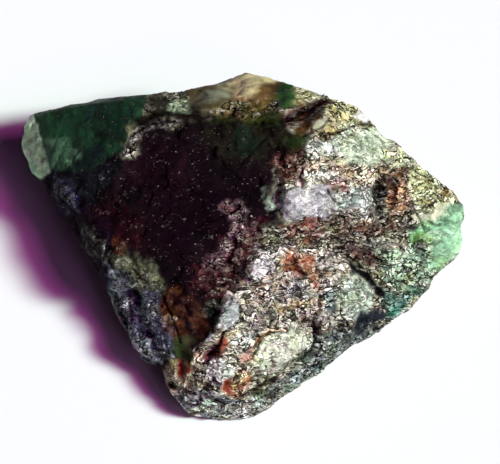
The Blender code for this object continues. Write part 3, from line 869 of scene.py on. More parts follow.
# %% The near end
NEAR_END = {
    "green of the low left": (
        (0.10, 0.10, 0.045), 0.35, (0.3, 0.5, 0.2),
        [(-7.3, -10.9), (-6.8, -9.2), (-6.0, -8.3), (-4.8, -8.1), (-4.1, -9.3), (-4.4, -10.7),
         (-5.4, -11.3), (-6.5, -11.5)],
    ),
    "deep green of the low left": (
        (0.030, 0.062, 0.016), 0.35, (0.2, 0.4, 0.2),
        [(-6.9, -9.7), (-6.2, -8.7), (-5.2, -9.0), (-5.1, -10.2), (-6.0, -10.6)],
    ),
    "rust of the low left": (
        (0.14, 0.046, 0.018), 0.4, (0.5, 0.8, 0.0),
        [(-8.7, -7.9), (-8.3, -4.6), (-5.6, -4.2), (-3.9, -5.6), (-3.3, -7.5), (-4.2, -8.5),
         (-6.2, -8.9)],
    ),
    "dark red of the low left": (
        (0.021, 0.002, 0.005), 0.4, (0.5, 0.8, 0.0),
        [(-6.9, -4.9), (-5.0, -4.6), (-4.3, -5.6), (-3.9, -7.4), (-4.5, -8.6), (-5.2, -7.6),
         (-5.7, -6.0)],
    ),
    "spark on the low left": (
        (0.60, 0.42, 0.25), 0.1, (0.7, 0.6, 0.0),
        [(-7.9, -6.9), (-7.3, -6.5), (-6.3, -6.7), (-6.6, -7.1), (-7.6, -7.3)],
    ),
    # Painted light: both knobs are painted far paler than their mineral, because they lie in shade here.
    "olive knob": (
        (0.80, 0.72, 0.42), 0.3, (0.7, 0.5, 0.1),
        [(-7.4, -12.9), (-7.1, -11.1), (-6.0, -10.9), (-4.9, -11.3), (-4.8, -13.0), (-5.7, -14.0),
         (-6.9, -14.2)],
    ),
    "left red streak": (
        (0.34, 0.040, 0.016), 0.15, (0.4, 0.4, 0.1),
        [(-6.3, -10.8), (-5.9, -10.7), (-5.8, -12.1), (-5.6, -13.2), (-6.3, -13.0), (-6.4, -11.9)],
    ),
    "right red streak": (
        (0.60, 0.13, 0.050), 0.15, (0.4, 0.4, 0.1),
        [(-5.6, -11.1), (-5.2, -11.0), (-5.1, -12.2), (-5.5, -12.5)],
    ),
    "brown knob": (
        (0.78, 0.72, 0.52), 0.3, (0.8, 0.5, 0.1),
        [(-7.9, -14.7), (-7.5, -12.5), (-6.0, -13.4), (-5.3, -14.7), (-6.4, -15.3)],
    ),
    "layered near end": (
        (0.54, 0.63, 0.67), 0.3, (1.05, 0.8, 0.1),
        [(-7.3, -14.9), (-5.2, -14.5), (-2.6, -14.0), (0.0, -14.7), (2.2, -15.4), (2.4, -16.1),
         (0.8, -17.3), (-2.2, -17.3), (-4.6, -16.7), (-6.6, -15.9)],
    ),
    "white flakes of the near end": (
        (0.85, 0.85, 0.85), 0.25, (1.35, 0.8, 0.0),
        [(-1.0, -15.7), (0.6, -15.3), (1.4, -15.9), (0.4, -16.7), (-0.8, -16.7)],
    ),
}
print("patches here", len(NEAR_END))

# %% [markdown]
# ### The left flank, and late touches
#
# The flank below the dark wall is blue grey and catches little light. The last patches are small ones
# that lie over several of the areas above.

# %% The left flank, and late touches
FLANK = {
    "green cream patch": (
        (0.15, 0.17, 0.10), 0.35, (0.65, 0.6, 0.2),
        [(-13.3, -0.6), (-11.9, 0.1), (-9.9, -0.6), (-8.3, -2.6), (-7.3, -4.4), (-8.3, -4.9),
         (-10.1, -4.1), (-12.1, -2.7)],
    ),
    "orange spot": (
        (0.10, 0.019, 0.008), 0.2, (0.6, 0.4, 0.0),
        [(-13.2, 0.8), (-12.2, 1.5), (-11.3, 0.4), (-11.5, -0.5), (-12.8, -0.3)],
    ),
    "grey lump under the crystal": (
        (0.002, 0.003, 0.047), 0.3, (0.65, 0.8, 0.3),
        [(-19.5, 7.5), (-17.9, 6.8), (-15.9, 5.2), (-16.1, 3.6), (-17.9, 4.0), (-19.1, 5.6)],
    ),
    "small lump on the wall": (
        (0.001, 0.001, 0.006), 0.3, (0.65, 0.6, 0.3),
        [(-15.9, 2.4), (-14.3, 1.9), (-13.1, -0.2), (-13.7, -1.4), (-15.1, -0.4), (-15.9, 1.0)],
    ),
    "blue grey flank": (
        (0.15, 0.19, 0.30), 0.4, (0.8, 0.8, 0.3),
        [(-13.3, -1.6), (-11.9, -2.8), (-10.1, -4.1), (-8.7, -4.8), (-7.7, -8.1), (-7.3, -10.3),
         (-8.1, -11.5), (-10.3, -10.9), (-12.1, -8.9), (-13.3, -5.0)],
    ),
    "small green grey patch": (
        (0.67, 0.85, 0.69), 0.25, (0.65, 0.5, 0.1),
        [(2.2, 5.3), (3.5, 6.1), (4.5, 5.4), (4.1, 4.3), (2.8, 4.1)],
    ),
    "pale vein": (
        (0.32, 0.18, 0.23), 0.3, (1.2, 1.0, 0.0),
        [(-1.8, 4.2), (0.0, 4.7), (0.7, 3.6), (0.6, 1.8), (-0.8, 0.1), (-3.0, -2.0), (-3.7, -1.3),
         (-1.4, 1.0), (-0.7, 2.6)],
    ),
    "red fringe at the upper right": (
        (0.28, 0.10, 0.074), 0.5, (0.95, 0.8, 0.0),
        [(4.4, 9.9), (6.4, 9.9), (6.2, 8.3), (4.8, 7.3), (3.4, 8.1)],
    ),
}
print("patches here", len(FLANK))

# %% [markdown]
# ### All patches in one order
#
# The areas are laid over each other in the order in which they were written. The ground is what shows
# between them.

# %% All patches
GROUND = ((0.26, 0.24, 0.18), (1.0, 0.6, 0.0))
AREAS = [
    DARK_FACE, CRYSTAL, QUARTZ, UPPER_RIGHT, PLATES, MINT_TIP, MIDDLE, SWELL, NEAR_END, FLANK,
]
PATCHES = [patch for area in AREAS for patch in area.values()]
print("patches", len(PATCHES))

# %% [markdown]
# ## The sides that the picture doesn't show
#
# A patch goes on over the rim, because minerals don't stop at an edge. Further round, the same rock is
# painted from soft clouds of noise in space: dark grey green mica rock, cream swells, violet grey, and
# rust. The crystal, the mint tip and the quartz keep their colours all the way round.
#
# A cloud has its colour, its size, its place in the noise, and the two noise values between which it
# comes in. An end has its colour, its three shares, its middle and its reach along each axis.

# %% Clouds of colour for the far sides
FAR_ROCK = (0.105, 0.105, 0.085)
FAR_CLOUDS = {
    "cream mica": ((0.30, 0.28, 0.20), 4.2, (3.1, 7.7, 1.3), 0.08, 0.30),
    "dark green mica": ((0.035, 0.050, 0.034), 3.4, (9.4, 2.2, 5.8), 0.06, 0.26),
    "rust": ((0.20, 0.075, 0.030), 3.0, (1.9, 4.4, 8.6), 0.20, 0.36),
    "violet grey": ((0.085, 0.075, 0.100), 5.0, (6.3, 1.1, 3.7), 0.12, 0.36),
}
FAR_SHARES = (0.85, 0.6, 0.1)
FAR_ENDS = {
    "crystal": ((0.022, 0.050, 0.034), (0.15, 0.4, 1.0), (-17.5, 9.5, 10.5), (6.2, 5.6, 5.2)),
    "mint tip": ((0.300, 0.520, 0.340), (0.4, 0.2, 0.8), (21.5, -1.5, 5.5), (3.6, 5.0, 4.2)),
    "quartz": ((0.260, 0.210, 0.140), (0.3, 0.3, 0.9), (1.0, 14.0, 14.5), (5.0, 4.0, 3.6)),
}
FAR_NOISE = (0.9, 2.0, 3)
FAR_END_BORDER = (1.08, 0.92)
RIM_FROM = (-0.45, 0.05)


def far_side(points):
    """Colour and shares of the sides that face away from the eye."""
    colour = np.tile(np.array(FAR_ROCK), (len(points), 1))
    shares = np.tile(np.array(FAR_SHARES), (len(points), 1))
    for tone, size, shift, low, high in FAR_CLOUDS.values():
        cloud = by_point(lambda p: noise.fractal(p / size + Vector(shift), *FAR_NOISE), points)
        share = smooth_step(low, high, cloud)[:, None]
        colour = colour * (1 - share) + share * np.array(tone)
    for tone, kinds, centre, reaches in FAR_ENDS.values():
        away = np.linalg.norm((points + VIEW_ZERO - np.array(centre)) / np.array(reaches), axis=1)
        share = smooth_step(*FAR_END_BORDER, away)[:, None]
        colour = colour * (1 - share) + share * np.array(tone)
        shares = shares * (1 - share) + share * np.array(kinds)
    return colour, shares


# %% [markdown]
# ## Painting every point
#
# Each outline is bent by a slow noise and frayed by a quick one, in step with how soft the border is, so
# a crystal's edge stays sharp and rust breaks up into islands. The result is a colour and three shares
# for each point of the mesh.

# %% Paint from the patches
BENT_SIZE = 2.3
BENT_REACH = 2.6
MOST_BENT = 1.4
RAGGED_SIZES = {1.3: 0.9, 0.6: 1.0, 0.35: 0.5}
RAGGED_REACH = 1.3
BLEND_SHARE = 1.3
RIM_FRAY = 0.1
NOISE_START = 7


def painted(points, u, v, towards_eye):
    """Colour and shares of every point."""
    sway = by_point(lambda p: noise.noise_vector(p / BENT_SIZE), points)
    ragged = np.zeros(len(points))
    for size, amount in RAGGED_SIZES.items():
        ragged += amount * by_point(lambda p: noise.noise(p / size), points)
    colour = np.tile(np.array(GROUND[0]), (len(points), 1))
    shares = np.tile(np.array(GROUND[1]), (len(points), 1))
    for tone, softness, kinds, outline in PATCHES:
        reach = min(MOST_BENT, BENT_REACH * softness)
        depth = depth_inside(outline, u + reach * sway[:, 0], v + reach * sway[:, 1])
        depth += RAGGED_REACH * softness * ragged
        share = smooth_step(-BLEND_SHARE * softness, BLEND_SHARE * softness, depth)[:, None]
        colour = colour * (1 - share) + share * np.array(tone)
        shares = shares * (1 - share) + share * np.array(kinds)
    far_colour, far_shares = far_side(points)
    seen = smooth_step(*RIM_FROM, towards_eye + RIM_FRAY * ragged)[:, None]
    return colour * seen + far_colour * (1 - seen), shares * seen + far_shares * (1 - seen)


noise.seed_set(NOISE_START)
points, facing, u, v, towards_eye = measure(stone.data)
colour, shares = painted(points, u, v, towards_eye)
print("mean colour", colour.mean(axis=0).round(3))

# %% [markdown]
# ## Flakes, pits and layers in the mesh
#
# Mica splits into leaves, so a broken piece of it is a crowd of tiny flat facets at slightly different
# heights and slopes. A cell pattern gives each facet its own level and lean. The big facets are on the
# solid already; here come those of two millimetres and of one. The dark cleavage face is nearly flat,
# with fine pits, and quartz and beryl are only gently uneven.
#
# A kind of flake has its size, how much its level varies, and its lean. Grain and waves have their size
# and height, ledges their size, number and height, and pits their spacing, their radius as a share of
# it, and their depth. A waver is the size of a noise and how far it moves things.

# %% Relief of the minerals
FLAKES = ((2.2, 0.30, 0.20), (1.0, 0.20, 0.26))
FLAKE_STRETCH = 1.6
FACE_FACETS = (2.2, 0.05, 0.05)
FLAKE_WAVER = (1.1, 0.40)
GRAIN = (0.8, 0.05)
LEDGES = (2.2, 5.0, 0.16)
LEDGE_NOISE = (0.8, 2.1, 3)
GLASSY_WAVES = (1.8, 0.05)
PITS = (0.85, 0.30, 0.12)
SLOPE_PICK, LEVEL_PICK, PIT_PICK = 17.3, 29.1, 31.7
PIT_ABOVE = 0.2


def facet(point, size, rise, lean):
    """Height of the flat facet that a point belongs to: each one has its own level and slope."""
    centre = noise.voronoi(point / size)[1][0]
    slope = noise.cell_vector(centre * SLOPE_PICK) - Vector((0.5, 0.5, 0.5))
    level = noise.cell(centre * LEVEL_PICK)
    return 0.5 * rise * level + 2 * lean * size * slope.dot(point / size - centre)


def bent(point):
    """The place moved by noise and squeezed, so that facets are long and have wavering edges."""
    size, move = FLAKE_WAVER
    moved = point + move * noise.noise_vector(point / size)
    return Vector((moved.x / FLAKE_STRETCH, moved.y, moved.z))


def ledge(point):
    """Height of thin leaves that end in winding edges, as on a map with contour lines."""
    size, amount, height = LEDGES
    field = amount * noise.fractal(point / size, *LEDGE_NOISE)
    return height * (math.floor(field) - field)


def pit(point):
    """Depth of the small pits, which only some cells of a pattern have."""
    size, radius, depth = PITS
    away, centres = noise.voronoi(point / size)
    if noise.cell(centres[0] * PIT_PICK) < PIT_ABOVE:
        return 0.0
    return depth * max(0.0, 1 - away[0] / radius)


flaky, _, glassy = shares.T
flaky = np.minimum(flaky, 1.0)
rise = flaky * sum(by_point(lambda p: facet(bent(p), *flakes), points) for flakes in FLAKES)
rise += flaky * by_point(ledge, points)
rise += (1 - flaky) * by_point(lambda p: facet(bent(p), *FACE_FACETS), points)
rise += GRAIN[1] * (1 - glassy) * by_point(lambda p: noise.noise(p / GRAIN[0]), points)
rise += GLASSY_WAVES[1] * glassy * by_point(lambda p: noise.noise(p / GLASSY_WAVES[0]), points)
rise -= (1 - glassy) * by_point(pit, points)
print("relief", rise.min().round(2), "to", rise.max().round(2), "mm")

# %% [markdown]
# ## Cracks and split layers
#
# A few cracks are long enough to lead the eye, so they follow drawn routes and are cut sharper than the
# solid has them. At the near end and under the mint tip the rock splits into leaves that are seen edge
# on: narrow terraces that all run the same way, each at its own level.
#
# A crack has its route, half its width and its depth. A field of terraces has its outline, the turn of
# its layers in degrees, their thickness and the most that two levels differ by. In the end all relief
# fades out towards the flat break that the stone lies on.

# %% Cut the cracks and terraces
CRACKS = {
    "arched crack": (
        [(8.0, 11.2), (8.9, 11.6), (9.9, 11.7), (11.1, 12.4), (12.1, 12.7), (13.1, 12.6)], 0.24, 0.4,
    ),
    "under the grey cream flake": ([(6.4, 11.4), (7.2, 11.9), (8.3, 12.3), (8.9, 13.2)], 0.20, 0.3),
    "maroon cleft": ([(4.2, 12.9), (6.0, 13.9), (8.8, 15.3)], 0.45, 0.5),
    "crust ledge": ([(-11.8, 9.6), (-11.0, 11.6), (-9.0, 12.6), (-6.6, 12.9)], 0.20, 0.3),
    "line behind the ridge": ([(16.6, 8.3), (17.5, 8.1), (19.1, 7.1), (20.6, 6.4)], 0.16, 0.25),
    "notch before the ridge": ([(13.8, 7.9), (14.3, 7.5), (15.0, 7.6), (15.5, 8.2)], 0.18, 0.3),
    "beside the white facet": ([(17.4, 4.8), (17.6, 4.0), (18.2, 3.0), (18.6, 2.1)], 0.18, 0.3),
    "crack in the plate": ([(8.8, 6.2), (9.0, 5.6), (9.5, 4.9), (10.1, 4.6)], 0.16, 0.3),
    "end of the plate": ([(13.0, 6.4), (13.5, 5.2), (13.0, 3.4)], 0.22, 0.4),
    "left of the boulder": ([(8.0, -4.6), (8.2, -6.2), (7.4, -7.0), (7.5, -8.0)], 0.18, 0.4),
    "under the boulder": ([(10.1, -5.4), (10.2, -6.6), (10.9, -7.6)], 0.16, 0.3),
    "edge of the dark strip": (
        [(7.5, -7.6), (7.6, -9.4), (6.5, -10.8), (4.8, -11.4), (3.7, -12.8), (1.7, -13.9), (0.2, -14.7)],
        0.28, 0.4,
    ),
    "ochre crack": ([(2.0, -8.9), (3.3, -8.3), (4.8, -8.3)], 0.18, 0.4),
    "crack beside the lavender fleck": ([(1.7, -8.1), (2.0, -9.4), (1.3, -10.8)], 0.16, 0.3),
    "crack in the cream swell": ([(2.6, -11.6), (2.8, -12.6), (2.6, -13.4)], 0.14, 0.25),
    "edge of the grey facet": ([(-0.1, -5.6), (0.1, -7.2), (-0.8, -7.7), (-1.6, -8.2)], 0.16, 0.3),
    "red crevice": ([(-3.2, -10.6), (-2.2, -9.5), (-1.7, -8.3)], 0.25, 0.4),
    "edge of the green crust": ([(-7.8, -4.6), (-6.6, -7.4), (-6.0, -9.4)], 0.18, 0.25),
    "crack over the face": ([(-0.6, 7.8), (1.0, 9.6), (2.6, 11.2)], 0.12, 0.12),
}
TERRACES = {
    "near end": (
        [(-7.6, -14.6), (-3.0, -13.8), (2.4, -15.4), (2.4, -17.2), (-4.0, -17.4), (-7.4, -16.0)],
        -24.0, 0.42, 0.18,
    ),
    "layers under the mint tip": (
        [(13.6, -0.6), (17.4, 0.6), (19.0, 0.2), (19.6, -3.0), (18.0, -5.0), (15.0, -4.6), (13.6, -2.4)],
        -16.0, 0.50, 0.16,
    ),
    "lined edge of the plate": (
        [(4.4, 6.2), (5.4, 7.6), (9.8, 7.6), (9.6, 6.2)],
        -6.0, 0.32, 0.10,
    ),
}
TERRACE_WAVER = (1.6, 0.35)
TERRACE_PICK = (3.3, 7.1)
TERRACE_BORDER = 0.3
CRACK_WAVER = 0.2
CUT_FROM = (0.0, 0.35)
CALM_BASE = (0.22, 0.9)
RIM_RELIEF = 0.35

seen = smooth_step(*CUT_FROM, towards_eye)
waver = by_point(lambda p: noise.noise(p / TERRACE_WAVER[0]), points)
for route, half_width, depth in CRACKS.values():
    away = line_distance(route, u + CRACK_WAVER * waver, v - CRACK_WAVER * waver, closed=False)
    rise -= seen * depth * smooth_step(half_width, 0.0, away)
for outline, turn, thickness, height in TERRACES.values():
    share = seen * smooth_step(-TERRACE_BORDER, TERRACE_BORDER, depth_inside(outline, u, v))
    angle = math.radians(turn)
    across = v * math.cos(angle) - u * math.sin(angle) + TERRACE_WAVER[1] * waver
    rows = np.floor(across / thickness)
    level = np.array([noise.cell(Vector((row, *TERRACE_PICK))) for row in rows])
    rise += share * 0.5 * height * level

rise *= smooth_step(*CALM_BASE, points[:, 2])
rim_share = RIM_RELIEF + (1 - RIM_RELIEF) * np.abs(towards_eye)
points = points + facing * (rise * rim_share)[:, None]
points[points[:, 2] < CALM_BASE[0], 2] = 0.0
stone.data.vertices.foreach_set("co", points.ravel())
stone.data.update()
print("cracks", len(CRACKS), "terraces", len(TERRACES))

# %% [markdown]
# ## Fewer faces where they don't show
#
# The fine copy has about twice the faces that it needs. The Decimate modifier merges them where the
# stone is flat and keeps them along edges.

# %% Thin out the mesh
MOST_TRIANGLES = 190000

stone.data.calc_loop_triangles()
thin = stone.modifiers.new("fewer faces", "DECIMATE")
thin.ratio = MOST_TRIANGLES / len(stone.data.loop_triangles)
thin.use_collapse_triangulate = True
evaluated(stone)
print("triangles", len(stone.data.polygons))

# %% [markdown]
# ## Hollows and ridges
#
# Hollows are darkened, as painted shade together with dirt, and ridges are lightened, as painted
# highlight together with wear. A hollow is found by comparing each point with the same surface after
# heavy smoothing: where the smooth surface lies above the point, the point lies deep.

# %% Find hollows and ridges
SMOOTHING_ROUNDS = 8
FULL_DEPTH = 0.10

ends = np.empty(2 * len(stone.data.edges), int)
stone.data.edges.foreach_get("vertices", ends)
ends = ends.reshape(-1, 2)


def neighbours_mean(values):
    """The mean of every point's neighbours."""
    count = len(values)
    starts = np.concatenate([ends[:, 0], ends[:, 1]])
    stops = np.concatenate([ends[:, 1], ends[:, 0]])
    amount = np.bincount(starts, minlength=count)
    sums = [np.bincount(starts, weights=values[stops, side], minlength=count) for side in range(3)]
    return np.stack(sums, axis=1) / amount[:, None]


points, facing, u, v, towards_eye = measure(stone.data)
smoothed = points
for _ in range(SMOOTHING_ROUNDS):
    smoothed = neighbours_mean(smoothed)
hollow = np.clip(((smoothed - points) * facing).sum(axis=1) / FULL_DEPTH, -1.0, 1.0)
print("hollow", hollow.mean().round(3), hollow.std().round(3))

# %% [markdown]
# ## Colour on the points
#
# The finished colours go onto the mesh as a point attribute, and the three shares as a second one, for
# the finish to read. Mottling varies each colour over a millimetre or so, yellow and green tints come in
# clouds on flaky rock, hollows are darkened towards brown as painted shade and dirt, and ridges of flaky
# rock are lightened towards cream as painted highlight and wear. The drawn cracks are darkened as painted
# shade.
#
# Both parts of the mottling have a size and a reach in stops, where one stop doubles the light. A tint
# has its size, its reach, its stops of red, green and blue, and its place in the noise.

# %% Store the colours
MOTTLING = ((2.6, 0.9), (1.0, 0.8))
MOTTLED_ANYWHERE, MOTTLED_MORE = 0.5, 0.7
TINTS = {
    "yellow": (1.7, 0.50, (0.20, 0.15, -0.60), (5.1, 2.2, 8.3)),
    "green": (1.4, 0.36, (-0.30, 0.18, -0.10), (10.2, 4.4, 16.6)),
}
RIDGES_FROM = (0.45, 0.85)
BRIGHTEST = 0.9
CRACK_SHADE = 0.75
CRACK_CORE = 0.3
SHADED_FROM = (0.0, 0.3)
HOLLOW_DARKENING = 0.65
DARKENED_ANYWHERE, DARKENED_MORE = 0.3, 0.7
RIDGE_LIGHTENING = 0.30
HOLLOW_TONE = np.array((0.275, 0.19, 0.15))
RIDGE_COLOUR = np.array((0.62, 0.60, 0.46))

colour, shares = painted(points, u, v, towards_eye)
flaky = shares[:, 0]
mottle = sum(reach * by_point(lambda p: noise.noise(p / size), points) for size, reach in MOTTLING)
colour = colour * np.exp2(mottle * (MOTTLED_ANYWHERE + MOTTLED_MORE * flaky))[:, None]
for size, reach, tone, shift in TINTS.values():
    clouds = by_point(lambda p: noise.noise(p / size + Vector(shift)), points)
    tint = 2 * reach * flaky * np.clip(clouds, 0, 1)
    colour = colour * np.exp2(tint[:, None] * np.array(tone))
mica = smooth_step(*RIDGES_FROM, flaky)
# Painted shade and dirt: hollows are darkened towards brown.
deep = HOLLOW_DARKENING * np.clip(hollow, 0, 1) * (DARKENED_ANYWHERE + DARKENED_MORE * flaky)
colour = colour * (1 - deep[:, None] * (1 - HOLLOW_TONE))
# Painted highlight and wear: ridges of flaky rock are lightened towards cream.
high = (RIDGE_LIGHTENING * np.clip(-hollow, 0, 1) * mica)[:, None]
colour = np.clip(colour * (1 - high) + high * RIDGE_COLOUR, 0.0, BRIGHTEST)
# Painted shade: the drawn cracks are darkened where they face the eye.
for route, half_width, _ in CRACKS.values():
    away = line_distance(route, u, v, closed=False)
    shade = smooth_step(half_width, CRACK_CORE * half_width, away)
    shade = shade * smooth_step(*SHADED_FROM, towards_eye)
    colour = colour * (1 - CRACK_SHADE * shade)[:, None]


def store(name, values):
    """Writes three numbers for each point into a colour attribute."""
    layer = stone.data.attributes.new(name, "FLOAT_COLOR", "POINT")
    full = np.concatenate([values, np.ones((len(values), 1))], axis=1)
    layer.data.foreach_set("color", full.astype(np.float32).ravel())


store("mineral_colour", colour)
store("mineral_shares", shares)
print("stored", [layer.name for layer in stone.data.attributes])

# %% [markdown]
# ## The finish
#
# The point colours give the map; the nodes give what is too fine for the mesh. Three cell patterns,
# stretched along the layers and bent by noise, are the single mica leaves in three sizes. Each leaf has
# its own lightness, tint, gloss and lean, all read from the random colour of its cell.

# %% Leaves on the stone's own coordinates
LAYER_TURN = (0.0, 0.0, 0.20)
LAYER_STRETCH = (0.60, 1.35, 1.35)
LEAF_SCALES = (0.6, 1.3, 2.6)
BEND_NOISE = {"Scale": 0.8, "Detail": 2.0}
BEND_REACH = 1.1
MICA_FROM = (0.4, 0.85)
GREY = (0.5, 0.5, 0.5)

rock = Finish("rough_beryl_stone")
ours = rock.output("ShaderNodeTexCoord", None, None, "Object")
in_mm = rock.scaled(ours, 1 / MM)
bend = rock.output("ShaderNodeTexNoise", None, {"Vector": in_mm, **BEND_NOISE}, "Color")
bent_mm = rock.vector("ADD", in_mm, rock.scaled(rock.vector("SUBTRACT", bend, GREY), BEND_REACH))
layer_sockets = {"Vector": bent_mm, "Rotation": LAYER_TURN, "Scale": LAYER_STRETCH}
layered = rock.output("ShaderNodeMapping", None, layer_sockets, "Vector")
mineral = rock.output("ShaderNodeAttribute", {"attribute_name": "mineral_colour"}, None, "Color")
share_colour = rock.output("ShaderNodeAttribute", {"attribute_name": "mineral_shares"}, None, "Color")
flaky, specked, glassy = rock.parts(share_colour)
mica_share = flaky.above(*MICA_FROM)


def leaves(scale):
    """One size of mica leaves: three random numbers of each leaf, its lean and the way to its edge."""
    sockets = {"Vector": layered, "Scale": scale}
    cell = rock.node("ShaderNodeTexVoronoi", None, sockets)
    edge = rock.node("ShaderNodeTexVoronoi", {"feature": "DISTANCE_TO_EDGE"}, sockets)
    across = rock.vector("SUBTRACT", layered, cell.outputs["Position"])
    slope = rock.vector("SUBTRACT", cell.outputs["Color"], GREY)
    lean = rock.vector("DOT_PRODUCT", slope, across)
    return rock.parts(cell.outputs["Color"]), lean, Value(rock, edge.outputs["Distance"])


(large_light, _, large_tint), large_lean, _ = leaves(LEAF_SCALES[0])
(small_light, small_gloss, small_tint), small_lean, small_edge = leaves(LEAF_SCALES[1])
(tiny_light, _, _), tiny_lean, _ = leaves(LEAF_SCALES[2])
print("nodes for the leaves", len(rock.tree.nodes))

# %% [markdown]
# ## Clouds, folds and steps
#
# Noises of several sizes break up all that follows. Two of them stand for the folds of the leaves, and
# winding lines are drawn where they have a chosen value: the dark gaps, painted shade and dirt, at their
# middle value, and painted highlights, the lit edges, at a slightly higher one, so that a lit edge runs
# beside its gap. A slow noise is cut into steps like the layers on a map, for a few broader gaps and
# painted highlights.

# %% Clouds and lines
STEPS = 7.0
LARGE_GAP_LINE = (0.50, 0.036)
SMALL_GAP_LINE = (0.50, 0.062)
LARGE_HIGHLIGHT_LINE = (0.56, 0.032)
SMALL_HIGHLIGHT_LINE = (0.60, 0.045)


def cloud(scale, detail):
    """A noise over the layered coordinates, between 0 and 1."""
    sockets = {"Vector": layered, "Scale": scale, "Detail": detail}
    return Value(rock, rock.output("ShaderNodeTexNoise", None, sockets, 0))


def line_along(pattern, level, half_width):
    """1 along the winding line where a pattern has the given value, and 0 away from it."""
    return rock.sum("ABSOLUTE", pattern - level).below(0.5 * half_width, half_width)


def most(*values):
    """The greatest of some values."""
    greatest = values[0]
    for value in values[1:]:
        greatest = rock.sum("MAXIMUM", greatest, value)
    return greatest


grain = cloud(1.6, 2.0)
fine = cloud(3.6, 1.0)
clump = cloud(0.75, 2.0)
patchy = cloud(0.6, 2.0)
slow = cloud(0.45, 3.0)
steps = rock.sum("FRACT", slow * STEPS)
folds = cloud(0.8, 1.0)
small_folds = cloud(1.6, 1.0)
dark_line = line_along(folds, *LARGE_GAP_LINE)
small_dark_line = line_along(small_folds, *SMALL_GAP_LINE)
# Painted highlight: lit edges that run beside the gaps.
highlight_line = most(line_along(folds, *LARGE_HIGHLIGHT_LINE), line_along(small_folds, *SMALL_HIGHLIGHT_LINE))
print("nodes with the clouds", len(rock.tree.nodes))

# %% [markdown]
# ## Lightness and tint of the leaves
#
# Lightness is handled in stops, as a photographer would: one step up doubles the colour, one step down
# halves it. Stops above a low limit are cut off, because the lit leaves of such a rock all look alike and
# its variety lies in the shade between them. Single leaves are a little warmer or greener than the map.

# %% Lightness and tint
LEAF_STOPS = 1.7
GLASS_STOPS = 3.4
FINE_STOPS = 1.3
TOP_STOPS = 0.15
LEAF_PART, TINY_PART, GRAIN_PART, CLUMP_PART = 0.8, 0.7, 0.8, 2.0
FINE_WHERE_FLAKY, FINE_ANYWHERE = 0.8, 0.2
SMALL_TINT_PART, LARGE_TINT_PART = 0.6, 0.4
WARM_LEAF = (1.10, 0.97, 0.82, 1.0)
WARM_FROM = (0.58, 0.72)
GREEN_LEAF = (0.90, 1.02, 0.86, 1.0)
GREEN_UP_TO = (0.24, 0.38)

leaf_stops = (large_light - 0.5) * LEAF_PART + (small_light - 0.5) * LEAF_PART
leaf_stops = leaf_stops + (grain - 0.5) * GRAIN_PART + (clump - 0.5) * CLUMP_PART
leaf_stops = leaf_stops + (tiny_light - 0.5) * TINY_PART
stops = leaf_stops * flaky * LEAF_STOPS + (cloud(0.5, 4.0) - 0.5) * glassy * GLASS_STOPS
stops = stops + (fine - 0.5) * (flaky * FINE_WHERE_FLAKY + FINE_ANYWHERE) * FINE_STOPS
stops = rock.sum("MINIMUM", stops, TOP_STOPS)
hue = mica_share * (small_tint * SMALL_TINT_PART + large_tint * LARGE_TINT_PART)
warm = rock.blend("MULTIPLY", hue.above(*WARM_FROM), mineral, WARM_LEAF)
tinted = rock.blend("MULTIPLY", mica_share * hue.below(*GREEN_UP_TO), warm, GREEN_LEAF)
varied = rock.scaled(tinted, rock.sum("POWER", 2.0, stops))
print("nodes with the lightness", len(rock.tree.nodes))

# %% [markdown]
# ## Wear, painted highlights and gaps
#
# Leaves that are bright already are bare mica, rubbed pale by wear, and the pale line along each gap
# and each step is a painted highlight, the lit edge of a leaf. Both add a pale tone to the map's colour,
# less on dark minerals than on light ones. A gap is painted shade and holds dirt, so it multiplies the
# colour by a very dark brown. Both come only where the rock is flaky, and two of the clouds interrupt
# them.

# %% Edges and gaps
PALE_LEAF = (0.56, 0.56, 0.49, 1.0)
GAP_TONE = (0.045, 0.036, 0.032, 1.0)
GAP_STRENGTH = 0.98
WORN_LEAVES, WORN_LEAVES_SHARE = (0.45, 1.0), 0.25
STEP_HIGHLIGHT_BAND, STEP_HIGHLIGHT_SHARE = (0.03, 0.20), 0.3
PALE_ON_DARK, PALE_ON_LIGHT = 0.25, 0.75
LIGHT_MINERAL = (0.02, 0.40)
LEAF_BORDER, LEAF_BORDER_SHARE = (0.02, 0.07), 0.8
STEP_BORDER = (0.86, 0.95)
CLOUD_LIMITS = {
    "highlighted steps": (0.35, 0.55),
    "highlight lines": (0.38, 0.56),
    "large gaps": (0.34, 0.44),
    "small gaps": (0.42, 0.54),
    "leaf gaps": (0.50, 0.60),
    "step gaps": (0.46, 0.62),
}

# Wear and painted highlight: bright bare leaves, and lit edges along the steps and beside the gaps.
wear_and_highlight = (leaf_stops * flaky).above(*WORN_LEAVES) * WORN_LEAVES_SHARE
step_highlights = steps.below(*STEP_HIGHLIGHT_BAND) * patchy.above(*CLOUD_LIMITS["highlighted steps"])
wear_and_highlight = wear_and_highlight + step_highlights * STEP_HIGHLIGHT_SHARE
wear_and_highlight = most(wear_and_highlight, highlight_line * patchy.above(*CLOUD_LIMITS["highlight lines"]))
pale = rock.blend("ADD", 1.0, mineral, PALE_LEAF)
pale_share = rock.parts(mineral)[1].above(*LIGHT_MINERAL) * PALE_ON_LIGHT + PALE_ON_DARK
coloured = rock.blend("MIX", mica_share * wear_and_highlight * pale_share, varied, pale)
large_gaps = dark_line * patchy.above(*CLOUD_LIMITS["large gaps"])
small_gaps = small_dark_line * clump.above(*CLOUD_LIMITS["small gaps"])
leaf_gaps = small_edge.below(*LEAF_BORDER) * patchy.above(*CLOUD_LIMITS["leaf gaps"]) * LEAF_BORDER_SHARE
step_gaps = steps.above(*STEP_BORDER) * patchy.below(*CLOUD_LIMITS["step gaps"])
gap = mica_share * most(large_gaps, small_gaps, leaf_gaps, step_gaps)
gapped = rock.blend("MULTIPLY", gap * GAP_STRENGTH, coloured, GAP_TONE)
print("nodes with the gaps", len(rock.tree.nodes))

